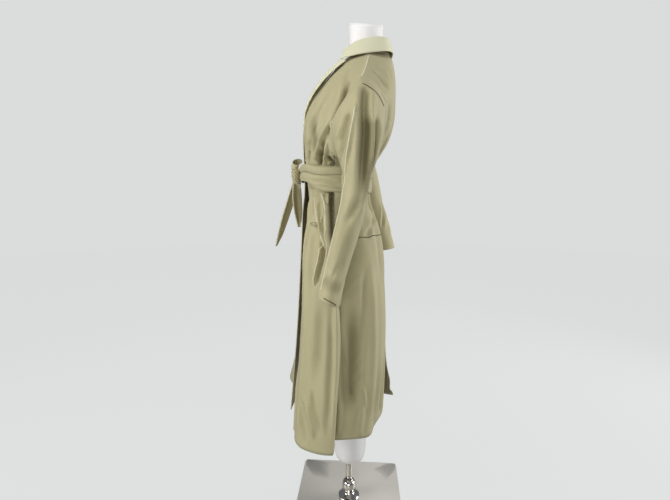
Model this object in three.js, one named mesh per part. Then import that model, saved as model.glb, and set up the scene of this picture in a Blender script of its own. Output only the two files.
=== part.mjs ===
// A belted trench coat on a limbless dress form, in millimetres.
// +X is the wearer's left, -Y the front, +Y the back, +Z up.
// The origin is the middle of the base plate's underside.
import * as THREE from "three";

// Driving sizes
const CLOTH = 2;
const BELT_CLOTH = 3;
const SEAM_GAP = 0.4;
const BELT_WIDTH = 46;
const PLATE = { side: 330, thick: 5, yaw: 4, corner: 12 };
const POLE = { radius: 10.5 };
const HUB = { radius: 22, top: 61, boss: 34 };

// Colours
const TWILL = new THREE.MeshStandardMaterial({ color: 0xb8ad82, roughness: 0.8 });
const LIGHT_TWILL = new THREE.MeshStandardMaterial({ color: 0xc9c497, roughness: 0.8 });
const FORM_WHITE = new THREE.MeshStandardMaterial({ color: 0xece9e4, roughness: 0.6 });
const CHROME = new THREE.MeshStandardMaterial({ color: 0xd0d0d0, roughness: 0.15, metalness: 1 });
const STEEL = new THREE.MeshStandardMaterial({ color: 0xb5aea4, roughness: 0.4, metalness: 0.9 });

const coat = new THREE.Group();

const v3 = (p) => new THREE.Vector3(p[0], p[1], p[2]);
const lerp = THREE.MathUtils.lerp;
const clamp01 = (t) => Math.min(1, Math.max(0, t));
const smooth = (t) => clamp01(t) ** 2 * (3 - 2 * clamp01(t));
const radians = THREE.MathUtils.degToRad;

// Adds one named piece, turned the right way out
function addPiece(name, positions, triangles, material) {
  const geometry = new THREE.BufferGeometry();
  geometry.setAttribute("position", new THREE.Float32BufferAttribute(positions, 3));
  let volume = 0;
  const corner = (k) => new THREE.Vector3().fromArray(positions, 3 * k);
  for (let k = 0; k < triangles.length; k += 3) {
    const [a, b, c] = [triangles[k], triangles[k + 1], triangles[k + 2]].map(corner);
    volume += a.dot(b.cross(c)) / 6;
  }
  if (volume < 0) {
    for (let k = 0; k < triangles.length; k += 3) {
      [triangles[k + 1], triangles[k + 2]] = [triangles[k + 2], triangles[k + 1]];
    }
  }
  geometry.setIndex(triangles);
  geometry.computeVertexNormals();
  const mesh = new THREE.Mesh(geometry, material);
  mesh.name = name;
  coat.add(mesh);
}

// The normals of a grid of points; side is +1 or -1, and seams gives the directions across seams
function gridNormals(grid, side, around, seams) {
  const rows = grid.length;
  const cols = grid[0].length;
  return grid.map((row, i) =>
    row.map((_, j) => {
      const up = grid[Math.min(i + 1, rows - 1)][j].clone().sub(grid[Math.max(i - 1, 0)][j]);
      const before = around ? (j + cols - 1) % cols : Math.max(j - 1, 0);
      const after = around ? (j + 1) % cols : Math.min(j + 1, cols - 1);
      const along = row[after].clone().sub(row[before]);
      const normal = along.cross(up).multiplyScalar(side).normalize();
      for (const crossing of seams?.(i, j, rows, cols) ?? []) {
        normal.addScaledVector(crossing, -normal.dot(crossing)).normalize();
      }
      return normal;
    }),
  );
}

// A cloth wall: the grid is its outer face, and the inner face lies one thickness inside
function clothWall(name, grid, options = {}) {
  const { side = 1, thick = CLOTH, around = false, seams, material = TWILL } = options;
  const rows = grid.length;
  const cols = grid[0].length;
  const normals = gridNormals(grid, side, around, seams);
  const positions = [];
  for (const depth of [0, thick]) {
    grid.forEach((row, i) => {
      row.forEach((point, j) => {
        const moved = point.clone().addScaledVector(normals[i][j], -depth);
        positions.push(moved.x, moved.y, moved.z);
      });
    });
  }
  const outer = (i, j) => i * cols + (j % cols);
  const inner = (i, j) => rows * cols + outer(i, j);
  const triangles = [];
  const quad = (a, b, c, d) => triangles.push(a, b, c, a, c, d);
  const spans = around ? cols : cols - 1;
  for (let i = 0; i < rows - 1; i += 1) {
    for (let j = 0; j < spans; j += 1) {
      quad(outer(i, j), outer(i, j + 1), outer(i + 1, j + 1), outer(i + 1, j));
      triangles.push(inner(i, j), inner(i + 1, j + 1), inner(i, j + 1));
      triangles.push(inner(i, j), inner(i + 1, j), inner(i + 1, j + 1));
    }
    if (!around) {
      quad(outer(i, 0), outer(i + 1, 0), inner(i + 1, 0), inner(i, 0));
      quad(outer(i + 1, cols - 1), outer(i, cols - 1), inner(i, cols - 1), inner(i + 1, cols - 1));
    }
  }
  for (let j = 0; j < spans; j += 1) {
    quad(outer(0, j + 1), outer(0, j), inner(0, j), inner(0, j + 1));
    quad(outer(rows - 1, j), outer(rows - 1, j + 1), inner(rows - 1, j + 1), inner(rows - 1, j));
  }
  addPiece(name, positions, triangles, material);
}

// Soft folds: a trough (depth above 0) or ridge (below 0) along a line, fading out at both ends
function foldDepth(point, folds) {
  let sum = 0;
  for (const fold of folds) {
    const start = v3(fold.from);
    const run = v3(fold.to).sub(start);
    const t = point.clone().sub(start).dot(run) / run.lengthSq();
    if (t > 0 && t < 1) {
      const away = point.distanceTo(start.addScaledVector(run, t));
      const fade = Math.min(1, 4 * Math.min(t, (1 - t) * (fold.open ? 4 : 1)));
      sum += fold.depth * smooth(fade) * Math.exp(-((away / fold.width) ** 2));
    }
  }
  return sum;
}

function applyFolds(grid, side, folds, around = false) {
  const normals = gridNormals(grid, side, around);
  grid.forEach((row, i) => {
    row.forEach((point, j) => {
      point.addScaledVector(normals[i][j], -foldDepth(point, folds));
    });
  });
}

// Armhole of the wearer's left, a closed loop: 0 is under the arm, 90 in front, 180 on top
const ARMHOLE_STATIONS = [
  { angle: 0, at: [183, -30, 1054] },
  { angle: 45, at: [189, -59, 1072] },
  { angle: 90, at: [191, -51, 1127] },
  { angle: 135, at: [192, -14, 1177] },
  { angle: 180, at: [193, 17, 1240] },
  { angle: 225, at: [197, 56, 1215] },
  { angle: 270, at: [194, 74, 1167] },
  { angle: 315, at: [183, 36, 1092] },
];
const SIDE_SEAM_ANGLE = 22;
const smoothLine = (points, closed = false) => new THREE.CatmullRomCurve3(points, closed, "centripetal");
const armholeLoop = smoothLine(ARMHOLE_STATIONS.map((s) => v3(s.at)), true);
const armhole = (angle) => armholeLoop.getPoint((((angle % 360) + 360) % 360) / 360);

// One column of a panel's table, at a height step v from 0 at the hem to 1 at the top.
// A number in the seam column is an angle on the armhole; below it the seam ends under the arm.
function columnPoint(table, key, v) {
  const place = v * (table.length - 1);
  const k = Math.min(Math.floor(place), table.length - 2);
  const underarm = table.findIndex((row) => typeof row[key] === "number");
  if (underarm >= 0 && k >= underarm) {
    return armhole(lerp(table[k][key], table[k + 1][key], place - k));
  }
  const rows = underarm >= 0 ? table.slice(0, underarm + 1) : table;
  const points = rows.map((row) => (typeof row[key] === "number" ? armhole(row[key]) : v3(row[key])));
  return smoothLine(points).getPoint(place / (rows.length - 1));
}

// A panel's outer face: columns are joined along each row by a smooth curve
function panelGrid(table, keys, { perSpan, perRow }) {
  const rows = (table.length - 1) * perRow;
  const cols = (keys.length - 1) * perSpan;
  const grid = [];
  for (let i = 0; i <= rows; i += 1) {
    const points = keys.map((key) => columnPoint(table, key, i / rows));
    const curve = smoothLine(points);
    const row = [];
    for (let j = 0; j <= cols; j += 1) {
      row.push(curve.getPoint(j / cols));
    }
    grid.push(row);
  }
  return grid;
}

// Pulls an edge in along a fixed direction, so that two pieces keep a gap at their seam
function insetEdge(grid, pick, shift) {
  grid.forEach((row, i) => {
    row.forEach((point, j) => {
      if (pick(i, j, grid.length, row.length)) {
        point.add(shift);
      }
    });
  });
}

const ACROSS_X = new THREE.Vector3(1, 0, 0);
const ACROSS_Y = new THREE.Vector3(0, 1, 0);
const SKIRT_ROWS = 9;

// Shoulder seam from the neck to the top of the armhole, shared by front and back
const NECK_POINT = [68, 50, 1354];
const SHOULDER_POINTS = [
  v3(NECK_POINT),
  v3([86, 47.5, 1341]),
  v3([106, 42.5, 1324]),
  v3([131, 36.5, 1299]),
  v3([162, 27.5, 1267]),
];
const shoulderSeam = smoothLine([...SHOULDER_POINTS, armhole(180)]);

// The upper front, from the belt to the shoulder seam, on the wearer's left
const UPPER_FRONT = [
  {
    free: [-20, -129, 1064], turn: [25, -130, 1064], front: [75, -122, 1063],
    bend: [114, -98, 1062], fold: [136, -76, 1063], seam: SIDE_SEAM_ANGLE,
  },
  {
    free: [-14, -131, 1112], turn: [28, -132, 1112], front: [76, -125, 1110],
    bend: [119, -106, 1108], fold: [152, -86, 1104], seam: 62,
  },
  {
    free: [0, -131, 1168], turn: [36, -131, 1165], front: [80, -124, 1158],
    bend: [124, -105, 1150], fold: [160, -78, 1142], seam: 93,
  },
  {
    free: [18, -114, 1212], turn: [47, -115, 1208], front: [86, -104, 1201],
    bend: [126, -86, 1192], fold: [161, -58, 1180], seam: 120,
  },
  {
    free: [35, -84, 1260], turn: [60, -84, 1255], front: [91, -77, 1246], bend: [127, -60, 1230],
    fold: [162, -36, 1208], seam: 138,
  },
  {
    free: [50, -47, 1306], turn: [70, -47, 1298], front: [96, -40, 1285], bend: [128, -27, 1264],
    fold: [162, -11, 1235], seam: 153,
  },
  {
    free: [62, -8, 1339], turn: [79, -7, 1329], front: [101, -3, 1312], bend: [129, 4, 1287],
    fold: [162, 10, 1255], seam: 167,
  },
  {
    free: NECK_POINT, turn: [86, 47.5, 1341], front: [106, 42.5, 1324], bend: [131, 36.5, 1299],
    fold: [162, 27.5, 1267], seam: 180,
  },
];

// The near skirt front hangs open and turns back on itself in a deep fold before its side seam
const LEFT_SKIRT = [
  {
    free: [70, -140, 310], turn: [118, -153, 310], front: [167, -156, 310],
    bend: [214, -133, 310], fold: [241, -51, 310], seam: [178, -50, 310],
  },
  {
    free: [66, -135, 445], turn: [114, -147, 445], front: [161, -148, 445],
    bend: [206, -118, 445], fold: [230, -43, 445], seam: [172, -41, 445],
  },
  {
    free: [58, -130, 600], turn: [106, -138, 600], front: [150, -137, 600],
    bend: [194, -103, 600], fold: [213, -34, 600], seam: [165, -30, 600],
  },
  {
    free: [54, -128, 740], turn: [98, -134, 740], front: [142, -130, 740],
    bend: [182, -104, 740], fold: [198, -48, 740], seam: [160, -37, 740],
  },
  {
    free: [50, -126, 830], turn: [90, -129, 830], front: [131, -123, 830],
    bend: [168, -102, 830], fold: [185, -61, 830], seam: [155, -43, 830],
  },
  {
    free: [36, -120, 890], turn: [76, -122, 890], front: [118, -114, 890], bend: [155, -96, 890],
    fold: [171, -67, 890], seam: [148, -46, 890],
  },
  {
    free: [16, -117, 938], turn: [58, -117, 938], front: [96, -110, 938], bend: [134, -92, 938],
    fold: [150, -67, 938], seam: [139, -47, 938],
  },
  {
    free: [-8, -121, 974], turn: [36, -121, 974], front: [80, -113, 974], bend: [114, -93, 974],
    fold: [129, -65, 974], seam: [131, -46, 974],
  },
  {
    free: [-20, -126, 1044], turn: [28, -128, 1044], front: [76, -120, 1044],
    bend: [110, -95, 1044], fold: [126, -66, 1044], seam: [129, -45, 1044],
  },
];

// The far skirt front laps over at the belt and flares forward at the far side
const RIGHT_SKIRT = [
  {
    free: [-22, -183, 310], turn: [40, -176, 310], front: [105, -176, 310],
    bend: [218, -213, 310], fold: [243, -120, 310], seam: [207, -43, 310],
  },
  {
    free: [-15, -171, 445], turn: [38, -167, 445], front: [98, -165, 445],
    bend: [192, -180, 445], fold: [226, -104, 445], seam: [191, -40, 445],
  },
  {
    free: [-8, -159, 600], turn: [38, -156, 600], front: [92, -152, 600], bend: [165, -146, 600],
    fold: [202, -90, 600], seam: [178, -37, 600],
  },
  {
    free: [-5, -151, 740], turn: [38, -148, 740], front: [88, -142, 740], bend: [148, -125, 740],
    fold: [182, -84, 740], seam: [168, -37, 740],
  },
  {
    free: [-5, -146, 830], turn: [36, -143, 830], front: [82, -136, 830], bend: [134, -116, 830],
    fold: [166, -80, 830], seam: [159, -41, 830],
  },
  {
    free: [-8, -143, 890], turn: [34, -140, 890], front: [76, -132, 890], bend: [122, -111, 890],
    fold: [152, -77, 890], seam: [148, -46, 890],
  },
  {
    free: [-14, -139, 938], turn: [30, -137, 938], front: [70, -128, 938],
    bend: [110, -105, 938], fold: [136, -74, 938], seam: [139, -47, 938],
  },
  {
    free: [-22, -134, 974], turn: [24, -134, 974], front: [66, -124, 974],
    bend: [100, -101, 974], fold: [123, -72, 974], seam: [131, -46, 974],
  },
  {
    free: [-22, -134, 1044], turn: [22, -134, 1044], front: [64, -125, 1044],
    bend: [98, -102, 1044], fold: [121, -73, 1044], seam: [129, -45, 1044],
  },
];

// The far front laps over the near one, so its free edge lies further out near the belt
const LAP = [
  { free: [-22, -135, 1064], turn: [24, -136, 1064] },
  { free: [-15, -137, 1112], turn: [27, -138, 1112] },
  { free: [0, -136, 1168], turn: [36, -134, 1165] },
];

const rightUpperFront = UPPER_FRONT.map((row, k) => ({ ...row, ...LAP[k] }));

// Lays the end of a panel's top row along the shoulder seam, from column first on
function layOnShoulder(grid, first) {
  const row = grid[grid.length - 1];
  for (let j = first; j < row.length; j += 1) {
    row[j].copy(shoulderSeam.getPoint((j - first) / (row.length - 1 - first)));
  }
}

const FRONT_KEYS = ["free", "turn", "front", "bend", "fold", "seam"];
const FRONT_GRID = { perSpan: 3, perRow: 2 };

// Main folds of the near front, from the shoulder down into the belt, and of its skirt
const LEFT_FRONT_FOLDS = [
  { from: [120, -20, 1270], to: [96, -112, 1058], depth: 9, width: 13, open: true },
  { from: [88, -96, 1215], to: [112, -108, 1058], depth: -4, width: 10, open: true },
  { from: [70, -124, 1140], to: [52, -128, 1058], depth: 4, width: 7, open: true },
  { from: [140, -86, 1120], to: [136, -92, 1058], depth: 5, width: 9, open: true },
  { from: [104, -108, 965], to: [128, -118, 800], depth: 4, width: 9 },
  { from: [150, -92, 960], to: [176, -96, 740], depth: 9, width: 12 },
  { from: [165, -157, 420], to: [205, -140, 318], depth: -6, width: 14, open: true },
  { from: [196, -128, 460], to: [216, -122, 400], depth: 3, width: 14 },
];
const RIGHT_FRONT_FOLDS = [
  { from: [115, -30, 1268], to: [88, -114, 1058], depth: 8, width: 13, open: true },
  { from: [84, -98, 1205], to: [106, -108, 1058], depth: -4, width: 10, open: true },
  { from: [138, -86, 1125], to: [132, -94, 1058], depth: 5, width: 9, open: true },
  { from: [98, -120, 960], to: [130, -140, 700], depth: 6, width: 12 },
  { from: [150, -90, 950], to: [188, -110, 640], depth: 7, width: 13 },
  { from: [60, -168, 480], to: [80, -178, 318], depth: 7, width: 16, open: true },
];

// Directions across the seams that a panel's outer edges meet: side seam, armhole and shoulder
function panelSeams(armRow, shoulderFrom, middle) {
  return (i, j, rows, cols) => {
    const crossings = [];
    if (j === cols - 1 && i <= armRow) {
      crossings.push(ACROSS_Y);
    }
    if (j === cols - 1 && i >= armRow) {
      crossings.push(ACROSS_X);
    }
    if (i === rows - 1 && j >= shoulderFrom) {
      crossings.push(ACROSS_Y);
    }
    if (middle && j === 0) {
      crossings.push(ACROSS_X);
    }
    return crossings;
  };
}

// Each edge of a panel is pulled back from its seam: toX and toY point away from the seams
function seamInsets(grid, armRow, toY, shoulderFrom) {
  const alongY = new THREE.Vector3(0, toY * SEAM_GAP, 0);
  const alongX = new THREE.Vector3(-SEAM_GAP, 0, 0);
  insetEdge(grid, (i, j, rows, cols) => j === cols - 1 && i <= armRow, alongY);
  insetEdge(grid, (i, j, rows, cols) => j === cols - 1 && i >= armRow, alongX);
  insetEdge(grid, (i, j, rows) => i === rows - 1 && j >= shoulderFrom, alongY);
}

function mirrorGrid(grid) {
  grid.forEach((row) => row.forEach((point) => point.setX(-point.x)));
}

function frontPanel(name, table, folds, flip) {
  const grid = panelGrid(table, FRONT_KEYS, FRONT_GRID);
  applyFolds(grid, 1, folds);
  layOnShoulder(grid, 0);
  const armRow = SKIRT_ROWS * FRONT_GRID.perRow;
  seamInsets(grid, armRow, -1, 0);
  if (flip) {
    mirrorGrid(grid);
  }
  clothWall(name, grid, { side: flip ? -1 : 1, seams: panelSeams(armRow, 0, false) });
  return grid;
}

// The upper back, from the belt to the neck and shoulder seam, on the wearer's left
const UPPER_BACK = [
  {
    mid: [0, 66, 1056], a: [40, 65, 1056], b: [80, 56, 1056], c: [113, 40, 1056],
    d: [144, 10, 1056], e: [168, -22, 1055], seam: SIDE_SEAM_ANGLE,
  },
  {
    mid: [0, 96, 1100], a: [46, 95, 1098], b: [90, 86, 1092], c: [125, 66, 1085],
    d: [152, 38, 1078], e: [172, 8, 1068], seam: -12,
  },
  {
    mid: [0, 112, 1145], a: [48, 111, 1142], b: [95, 104, 1136], c: [132, 88, 1126],
    d: [160, 64, 1112], e: [177, 38, 1097], seam: -42,
  },
  {
    mid: [0, 118, 1190], a: [50, 118, 1188], b: [98, 113, 1182], c: [136, 101, 1172],
    d: [165, 84, 1156], e: [183, 66, 1140], seam: -68,
  },
  {
    mid: [0, 117, 1242], a: [50, 118, 1238], b: [98, 115, 1228], c: [137, 106, 1214],
    d: [167, 93, 1196], e: [187, 79, 1180], seam: -90,
  },
  {
    mid: [0, 120, 1300], a: [49, 119, 1292], b: [95, 114, 1274], c: [133, 103, 1253],
    d: [165, 89, 1230], e: [188, 73, 1208], seam: -115,
  },
  {
    mid: [0, 118, 1345], a: [44, 113, 1337], b: [86, 99, 1315], c: [124, 84, 1287],
    d: [159, 68, 1256], e: [187, 53, 1230], seam: -145,
  },
  {
    mid: [0, 102, 1376], a: [38, 90, 1368], b: NECK_POINT, c: [106, 42.5, 1324],
    d: [131, 36.5, 1299], e: [162, 27.5, 1267], seam: -180,
  },
];

const LEFT_BACK_SKIRT = [
  {
    mid: [8, 105, 310], a: [45, 97, 310], b: [88, 77, 310], c: [120, 63, 310], d: [162, 50, 310],
    e: [173, 6, 310], seam: [178, -50, 310],
  },
  {
    mid: [3, 106, 445], a: [48, 103, 445], b: [96, 87, 445], c: [132, 72, 445],
    d: [160, 46, 445], e: [169, 6, 445], seam: [172, -41, 445],
  },
  {
    mid: [0, 108, 600], a: [49, 105, 600], b: [96, 95, 600], c: [130, 76, 600],
    d: [155, 44, 600], e: [163, 8, 600], seam: [165, -30, 600],
  },
  {
    mid: [0, 100, 740], a: [48, 98, 740], b: [94, 88, 740], c: [127, 69, 740], d: [151, 38, 740],
    e: [159, 2, 740], seam: [160, -37, 740],
  },
  {
    mid: [0, 93, 830], a: [46, 91, 830], b: [90, 81, 830], c: [122, 62, 830], d: [145, 32, 830],
    e: [153, -4, 830], seam: [155, -43, 830],
  },
  {
    mid: [0, 78, 890], a: [45, 76, 890], b: [85, 67, 890], c: [115, 50, 890], d: [137, 23, 890],
    e: [145, -10, 890], seam: [148, -46, 890],
  },
  {
    mid: [0, 58, 938], a: [42, 57, 938], b: [78, 50, 938], c: [105, 35, 938], d: [126, 11, 938],
    e: [136, -16, 938], seam: [139, -47, 938],
  },
  {
    mid: [0, 53, 974], a: [39, 52, 974], b: [73, 44, 974], c: [99, 29, 974], d: [118, 7, 974],
    e: [128, -19, 974], seam: [131, -46, 974],
  },
  {
    mid: [0, 56, 1040], a: [38, 55, 1040], b: [72, 46, 1041], c: [98, 31, 1042],
    d: [117, 8, 1043], e: [127, -18, 1044], seam: [129, -45, 1044],
  },
];

// The far half of the back opens away from the near one at the vent and flares out at its corner
const RIGHT_BACK_SKIRT = [
  {
    mid: [72, 150, 310], a: [82, 120, 310], b: [105, 98, 310], c: [140, 78, 310],
    d: [178, 48, 310], e: [200, 2, 310], seam: [207, -43, 310],
  },
  {
    mid: [9, 116, 445], a: [50, 106, 445], b: [98, 92, 445], c: [133, 76, 445],
    d: [163, 47, 445], e: [184, 5, 445], seam: [191, -40, 445],
  },
  {
    mid: [0, 108, 600], a: [49, 104, 600], b: [95, 94, 600], c: [129, 75, 600],
    d: [157, 46, 600], e: [173, 6, 600], seam: [178, -37, 600],
  },
  {
    mid: [0, 100, 740], a: [48, 98, 740], b: [94, 88, 740], c: [127, 70, 740], d: [153, 40, 740],
    e: [165, 3, 740], seam: [168, -37, 740],
  },
  {
    mid: [0, 93, 830], a: [46, 91, 830], b: [90, 81, 830], c: [122, 62, 830], d: [147, 32, 830],
    e: [157, -3, 830], seam: [159, -41, 830],
  },
];

const BACK_KEYS = ["mid", "a", "b", "c", "d", "e", "seam"];
const BACK_GRID = { perSpan: 2, perRow: 2 };

const LEFT_BACK_FOLDS = [
  { from: [150, 56, 1150], to: [104, 30, 1052], depth: 5, width: 12, open: true },
  { from: [96, 108, 1180], to: [66, 56, 1052], depth: 4, width: 12, open: true },
  { from: [120, 34, 960], to: [138, 52, 820], depth: 4, width: 12 },
  { from: [172, 20, 520], to: [160, 52, 318], depth: 5, width: 14, open: true },
  { from: [142, 60, 560], to: [128, 66, 318], depth: 6, width: 15, open: true },
  { from: [150, 40, 720], to: [162, -10, 690], depth: 3, width: 12 },
];
const RIGHT_BACK_FOLDS = [
  { from: [148, 58, 1160], to: [100, 32, 1052], depth: 5, width: 12, open: true },
  { from: [92, 110, 1190], to: [60, 58, 1052], depth: 4, width: 12, open: true },
  { from: [116, 36, 960], to: [140, 54, 800], depth: 4, width: 12 },
  { from: [150, 60, 640], to: [158, 62, 318], depth: 6, width: 15, open: true },
  { from: [184, 30, 560], to: [194, 30, 318], depth: 5, width: 14, open: true },
];

function backPanel(name, table, folds, flip) {
  const grid = panelGrid(table, BACK_KEYS, BACK_GRID);
  applyFolds(grid, -1, folds);
  const armRow = SKIRT_ROWS * BACK_GRID.perRow;
  const neckColumn = 2 * BACK_GRID.perSpan;
  layOnShoulder(grid, neckColumn);
  seamInsets(grid, armRow, 1, neckColumn);
  grid.forEach((row) => row[0].setX(Math.max(row[0].x, 0) + SEAM_GAP));
  if (flip) {
    mirrorGrid(grid);
  }
  clothWall(name, grid, { side: flip ? 1 : -1, seams: panelSeams(armRow, neckColumn, true) });
}

// Sleeve rings from the armhole down to the cuff; lean turns a ring from upright (0) to level (90)
const LEFT_SLEEVE = [
  { lean: 14, at: [204, 8, 1142], across: 65, reach: 84, loop: 0.75 },
  { lean: 34, at: [220, 8, 1118], across: 61, reach: 74, loop: 0.35 },
  { lean: 56, at: [237, 7, 1080], across: 52, reach: 62, loop: 0.08 },
  { lean: 74, at: [250, 6, 1040], across: 41, reach: 54, loop: 0 },
  { lean: 84, at: [256, 4, 1000], across: 31, reach: 49, loop: 0 },
  { lean: 90, at: [258, -3, 938], across: 30, reach: 46, loop: 0 },
  { lean: 90, at: [259, -15, 890], across: 30, reach: 45, loop: 0 },
  { lean: 90, at: [259, -29, 840], across: 28.5, reach: 44, loop: 0 },
  { lean: 90, at: [258, -46, 780], across: 27, reach: 43, loop: 0 },
  { lean: 90, at: [257, -61, 714], across: 26, reach: 43, loop: 0, drop: 13 },
];
const RIGHT_SLEEVE = [
  { lean: 14, at: [204, 13, 1142], across: 65, reach: 84, loop: 0.75 },
  { lean: 34, at: [220, 24, 1118], across: 63, reach: 74, loop: 0.35 },
  { lean: 56, at: [238, 40, 1080], across: 58, reach: 62, loop: 0.08 },
  { lean: 74, at: [252, 58, 1040], across: 52, reach: 54, loop: 0 },
  { lean: 84, at: [259, 72, 1000], across: 47, reach: 49, loop: 0 },
  { lean: 90, at: [263, 90, 938], across: 43, reach: 46, loop: 0 },
  { lean: 90, at: [264, 106, 890], across: 41, reach: 44, loop: 0 },
  { lean: 90, at: [264, 121, 840], across: 40, reach: 42, loop: 0 },
  { lean: 90, at: [264, 137, 781], across: 38, reach: 40, loop: 0, drop: -6 },
];
const SLEEVE_AROUND = 18;
const SLEEVE_STEPS = 2;

const LEFT_SLEEVE_FOLDS = [
  { from: [214, 26, 1232], to: [298, 24, 930], depth: 11, width: 11 },
  { from: [292, 46, 1110], to: [290, 26, 1000], depth: 7, width: 8 },
  { from: [250, -32, 1120], to: [290, -6, 1040], depth: 4, width: 12 },
  { from: [286, -34, 860], to: [292, -52, 760], depth: -4, width: 12 },
];
const RIGHT_SLEEVE_FOLDS = [
  { from: [214, 30, 1232], to: [300, 80, 950], depth: 10, width: 12 },
  { from: [290, 96, 1080], to: [296, 110, 960], depth: 6, width: 10 },
  { from: [272, 60, 980], to: [300, 84, 860], depth: 5, width: 12 },
];

function sleeveRing(ring, s) {
  const lean = radians(ring.lean);
  const reach = new THREE.Vector3(Math.sin(lean), 0, Math.cos(lean));
  const turn = 2 * Math.PI * s;
  const tube = v3(ring.at)
    .addScaledVector(reach, -ring.reach * Math.cos(turn))
    .add(new THREE.Vector3(0, -ring.across * Math.sin(turn), 0));
  tube.z += (ring.drop ?? 0) * Math.sin(turn);
  const loop = armhole(360 * s).add(new THREE.Vector3(tube.x > 0 ? ring.at[0] - 190 : 0, 0, 0));
  return tube.lerp(loop, ring.loop);
}

function sleeve(name, table, folds, flip) {
  const rail = (s) => {
    const start = armhole(360 * s).add(new THREE.Vector3(SEAM_GAP, 0, 0));
    const points = [start, ...table.map((ring) => sleeveRing(ring, s))];
    return smoothLine(points);
  };
  const rails = Array.from({ length: SLEEVE_AROUND }, (_, j) => rail(j / SLEEVE_AROUND));
  const rows = table.length * SLEEVE_STEPS;
  const grid = [];
  for (let i = 0; i <= rows; i += 1) {
    grid.push(rails.map((curve) => curve.getPoint(i / rows)));
  }
  applyFolds(grid, 1, folds, true);
  grid[0] = rails.map((curve) => curve.getPoint(0));
  if (flip) {
    grid.forEach((row) => row.forEach((p) => p.setX(-p.x)));
  }
  const side = flip ? -1 : 1;
  clothWall(name, grid, { side, around: true, seams: (i) => (i === 0 ? [ACROSS_X] : []) });
  return grid;
}

// Collar: a stand that rises from the neckline, folds over and falls outside; left half
const COLLAR_STATIONS = [
  { foot: [61.2, -11.5, 1338], top: [51, -15, 1358], roll: [57, -20, 1359], fall: [84, -31, 1325] },
  { foot: [65.2, 14, 1349.8], top: [58, 10, 1374], roll: [67, 8, 1376], fall: [102, -2, 1326] },
  { foot: [65.2, 49, 1355.9], top: [60, 44, 1384], roll: [69, 46, 1385.5], fall: [106, 42, 1332] },
  { foot: [57, 78.5, 1363], top: [52, 76, 1390], roll: [59, 84, 1391], fall: [88, 92, 1343] },
  { foot: [29.9, 93.8, 1372.2], top: [30, 93, 1395.5], roll: [32, 103, 1396.5], fall: [50, 114.5, 1352] },
  { foot: [0, 99.2, 1376.4], top: [0, 98, 1397], roll: [0, 109, 1398], fall: [0, 118, 1357] },
];
const COLLAR_KEYS = ["foot", "top", "roll", "fall"];
const COLLAR_STEPS = 2;

function collar() {
  const half = COLLAR_STATIONS.map((s) => COLLAR_KEYS.map((key) => v3(s[key])));
  const other = half.slice(0, -1).map((points) => points.map((p) => new THREE.Vector3(-p.x, p.y, p.z)));
  const stations = [...half, ...other.reverse()];
  const rails = COLLAR_KEYS.map((_, k) => smoothLine(stations.map((s) => s[k])));
  const along = 20;
  const grid = [];
  for (let i = 0; i <= along; i += 1) {
    const section = rails.map((curve) => curve.getPoint(i / along));
    const curve = smoothLine(section);
    const row = [];
    for (let j = 0; j <= COLLAR_STEPS * 3; j += 1) {
      row.push(curve.getPoint(j / (COLLAR_STEPS * 3)));
    }
    grid.push(row);
  }
  clothWall("collar", grid, { side: 1, thick: 2, material: LIGHT_TWILL });
}

// A point of a panel's outer face, with its normal
function onPanel(grid, side, row, col) {
  const normals = gridNormals(grid, side, false);
  const i = Math.min(Math.floor(row), grid.length - 2);
  const j = Math.min(Math.floor(col), grid[0].length - 2);
  const mix = (source) => {
    const low = source[i][j].clone().lerp(source[i][j + 1], col - j);
    const high = source[i + 1][j].clone().lerp(source[i + 1][j + 1], col - j);
    return low.lerp(high, row - i);
  };
  return { at: mix(grid), normal: mix(normals).normalize() };
}

// Lapel: turned back over the front from the break point up to the notch, as columns of the panel
const LAPEL = {
  breakRow: 22, notchRow: 29, width: 5.2, lift: 2.3, swell: 7.5, roll: 9, steps: 10, across: 5,
};

function lapel(name, grid, side) {
  const rows = [];
  for (let i = 0; i <= LAPEL.steps; i += 1) {
    const t = i / LAPEL.steps;
    const row = [];
    for (let j = 0; j <= LAPEL.across; j += 1) {
      const u = j / LAPEL.across;
      const width = LAPEL.width * Math.sin((Math.PI / 2) * Math.min(1, 0.06 + t * 1.02));
      const height = lerp(LAPEL.breakRow, LAPEL.notchRow, t) + 0.5 * u * t;
      const place = onPanel(grid, side, height, u * width);
      const swell = LAPEL.swell * t ** 0.5 + LAPEL.roll * Math.sin(Math.PI * t ** 0.7);
      const raised = LAPEL.lift + swell * Math.sin(Math.PI * (0.02 + 0.8 * u));
      row.push(place.at.addScaledVector(place.normal, raised));
    }
    rows.push(row);
  }
  clothWall(name, rows, { side, thick: 1.8, material: LIGHT_TWILL });
}

// Belt: two turns round the waist
const WAIST_STATIONS = [
  { at: [0, -149] }, { at: [40, -142] }, { at: [88, -121] }, { at: [122, -94] }, { at: [137, -58] },
  { at: [135, -18] }, { at: [120, 16] }, { at: [84, 48] }, { at: [40, 60] }, { at: [0, 63] },
];
const BELT_INSET = 2.6;
const BELT_TURN_CLOTH = 2.6;
const BELT_TURNS = [
  { name: "belt_lower", low: 977, high: 1020.4, crown: 4, dipLow: 12, dipHigh: -6 },
  { name: "belt_upper", low: 1021, high: 1042, crown: 4.5, dipLow: -6, dipHigh: -6 },
];
// The belt rises to the knot in front and sinks toward the back
const BELT_TILT = { from: 60, over: 80, rise: 18, sink: 4 };
const BELT_AROUND = 44;
const BELT_ACROSS = 3;

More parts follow.
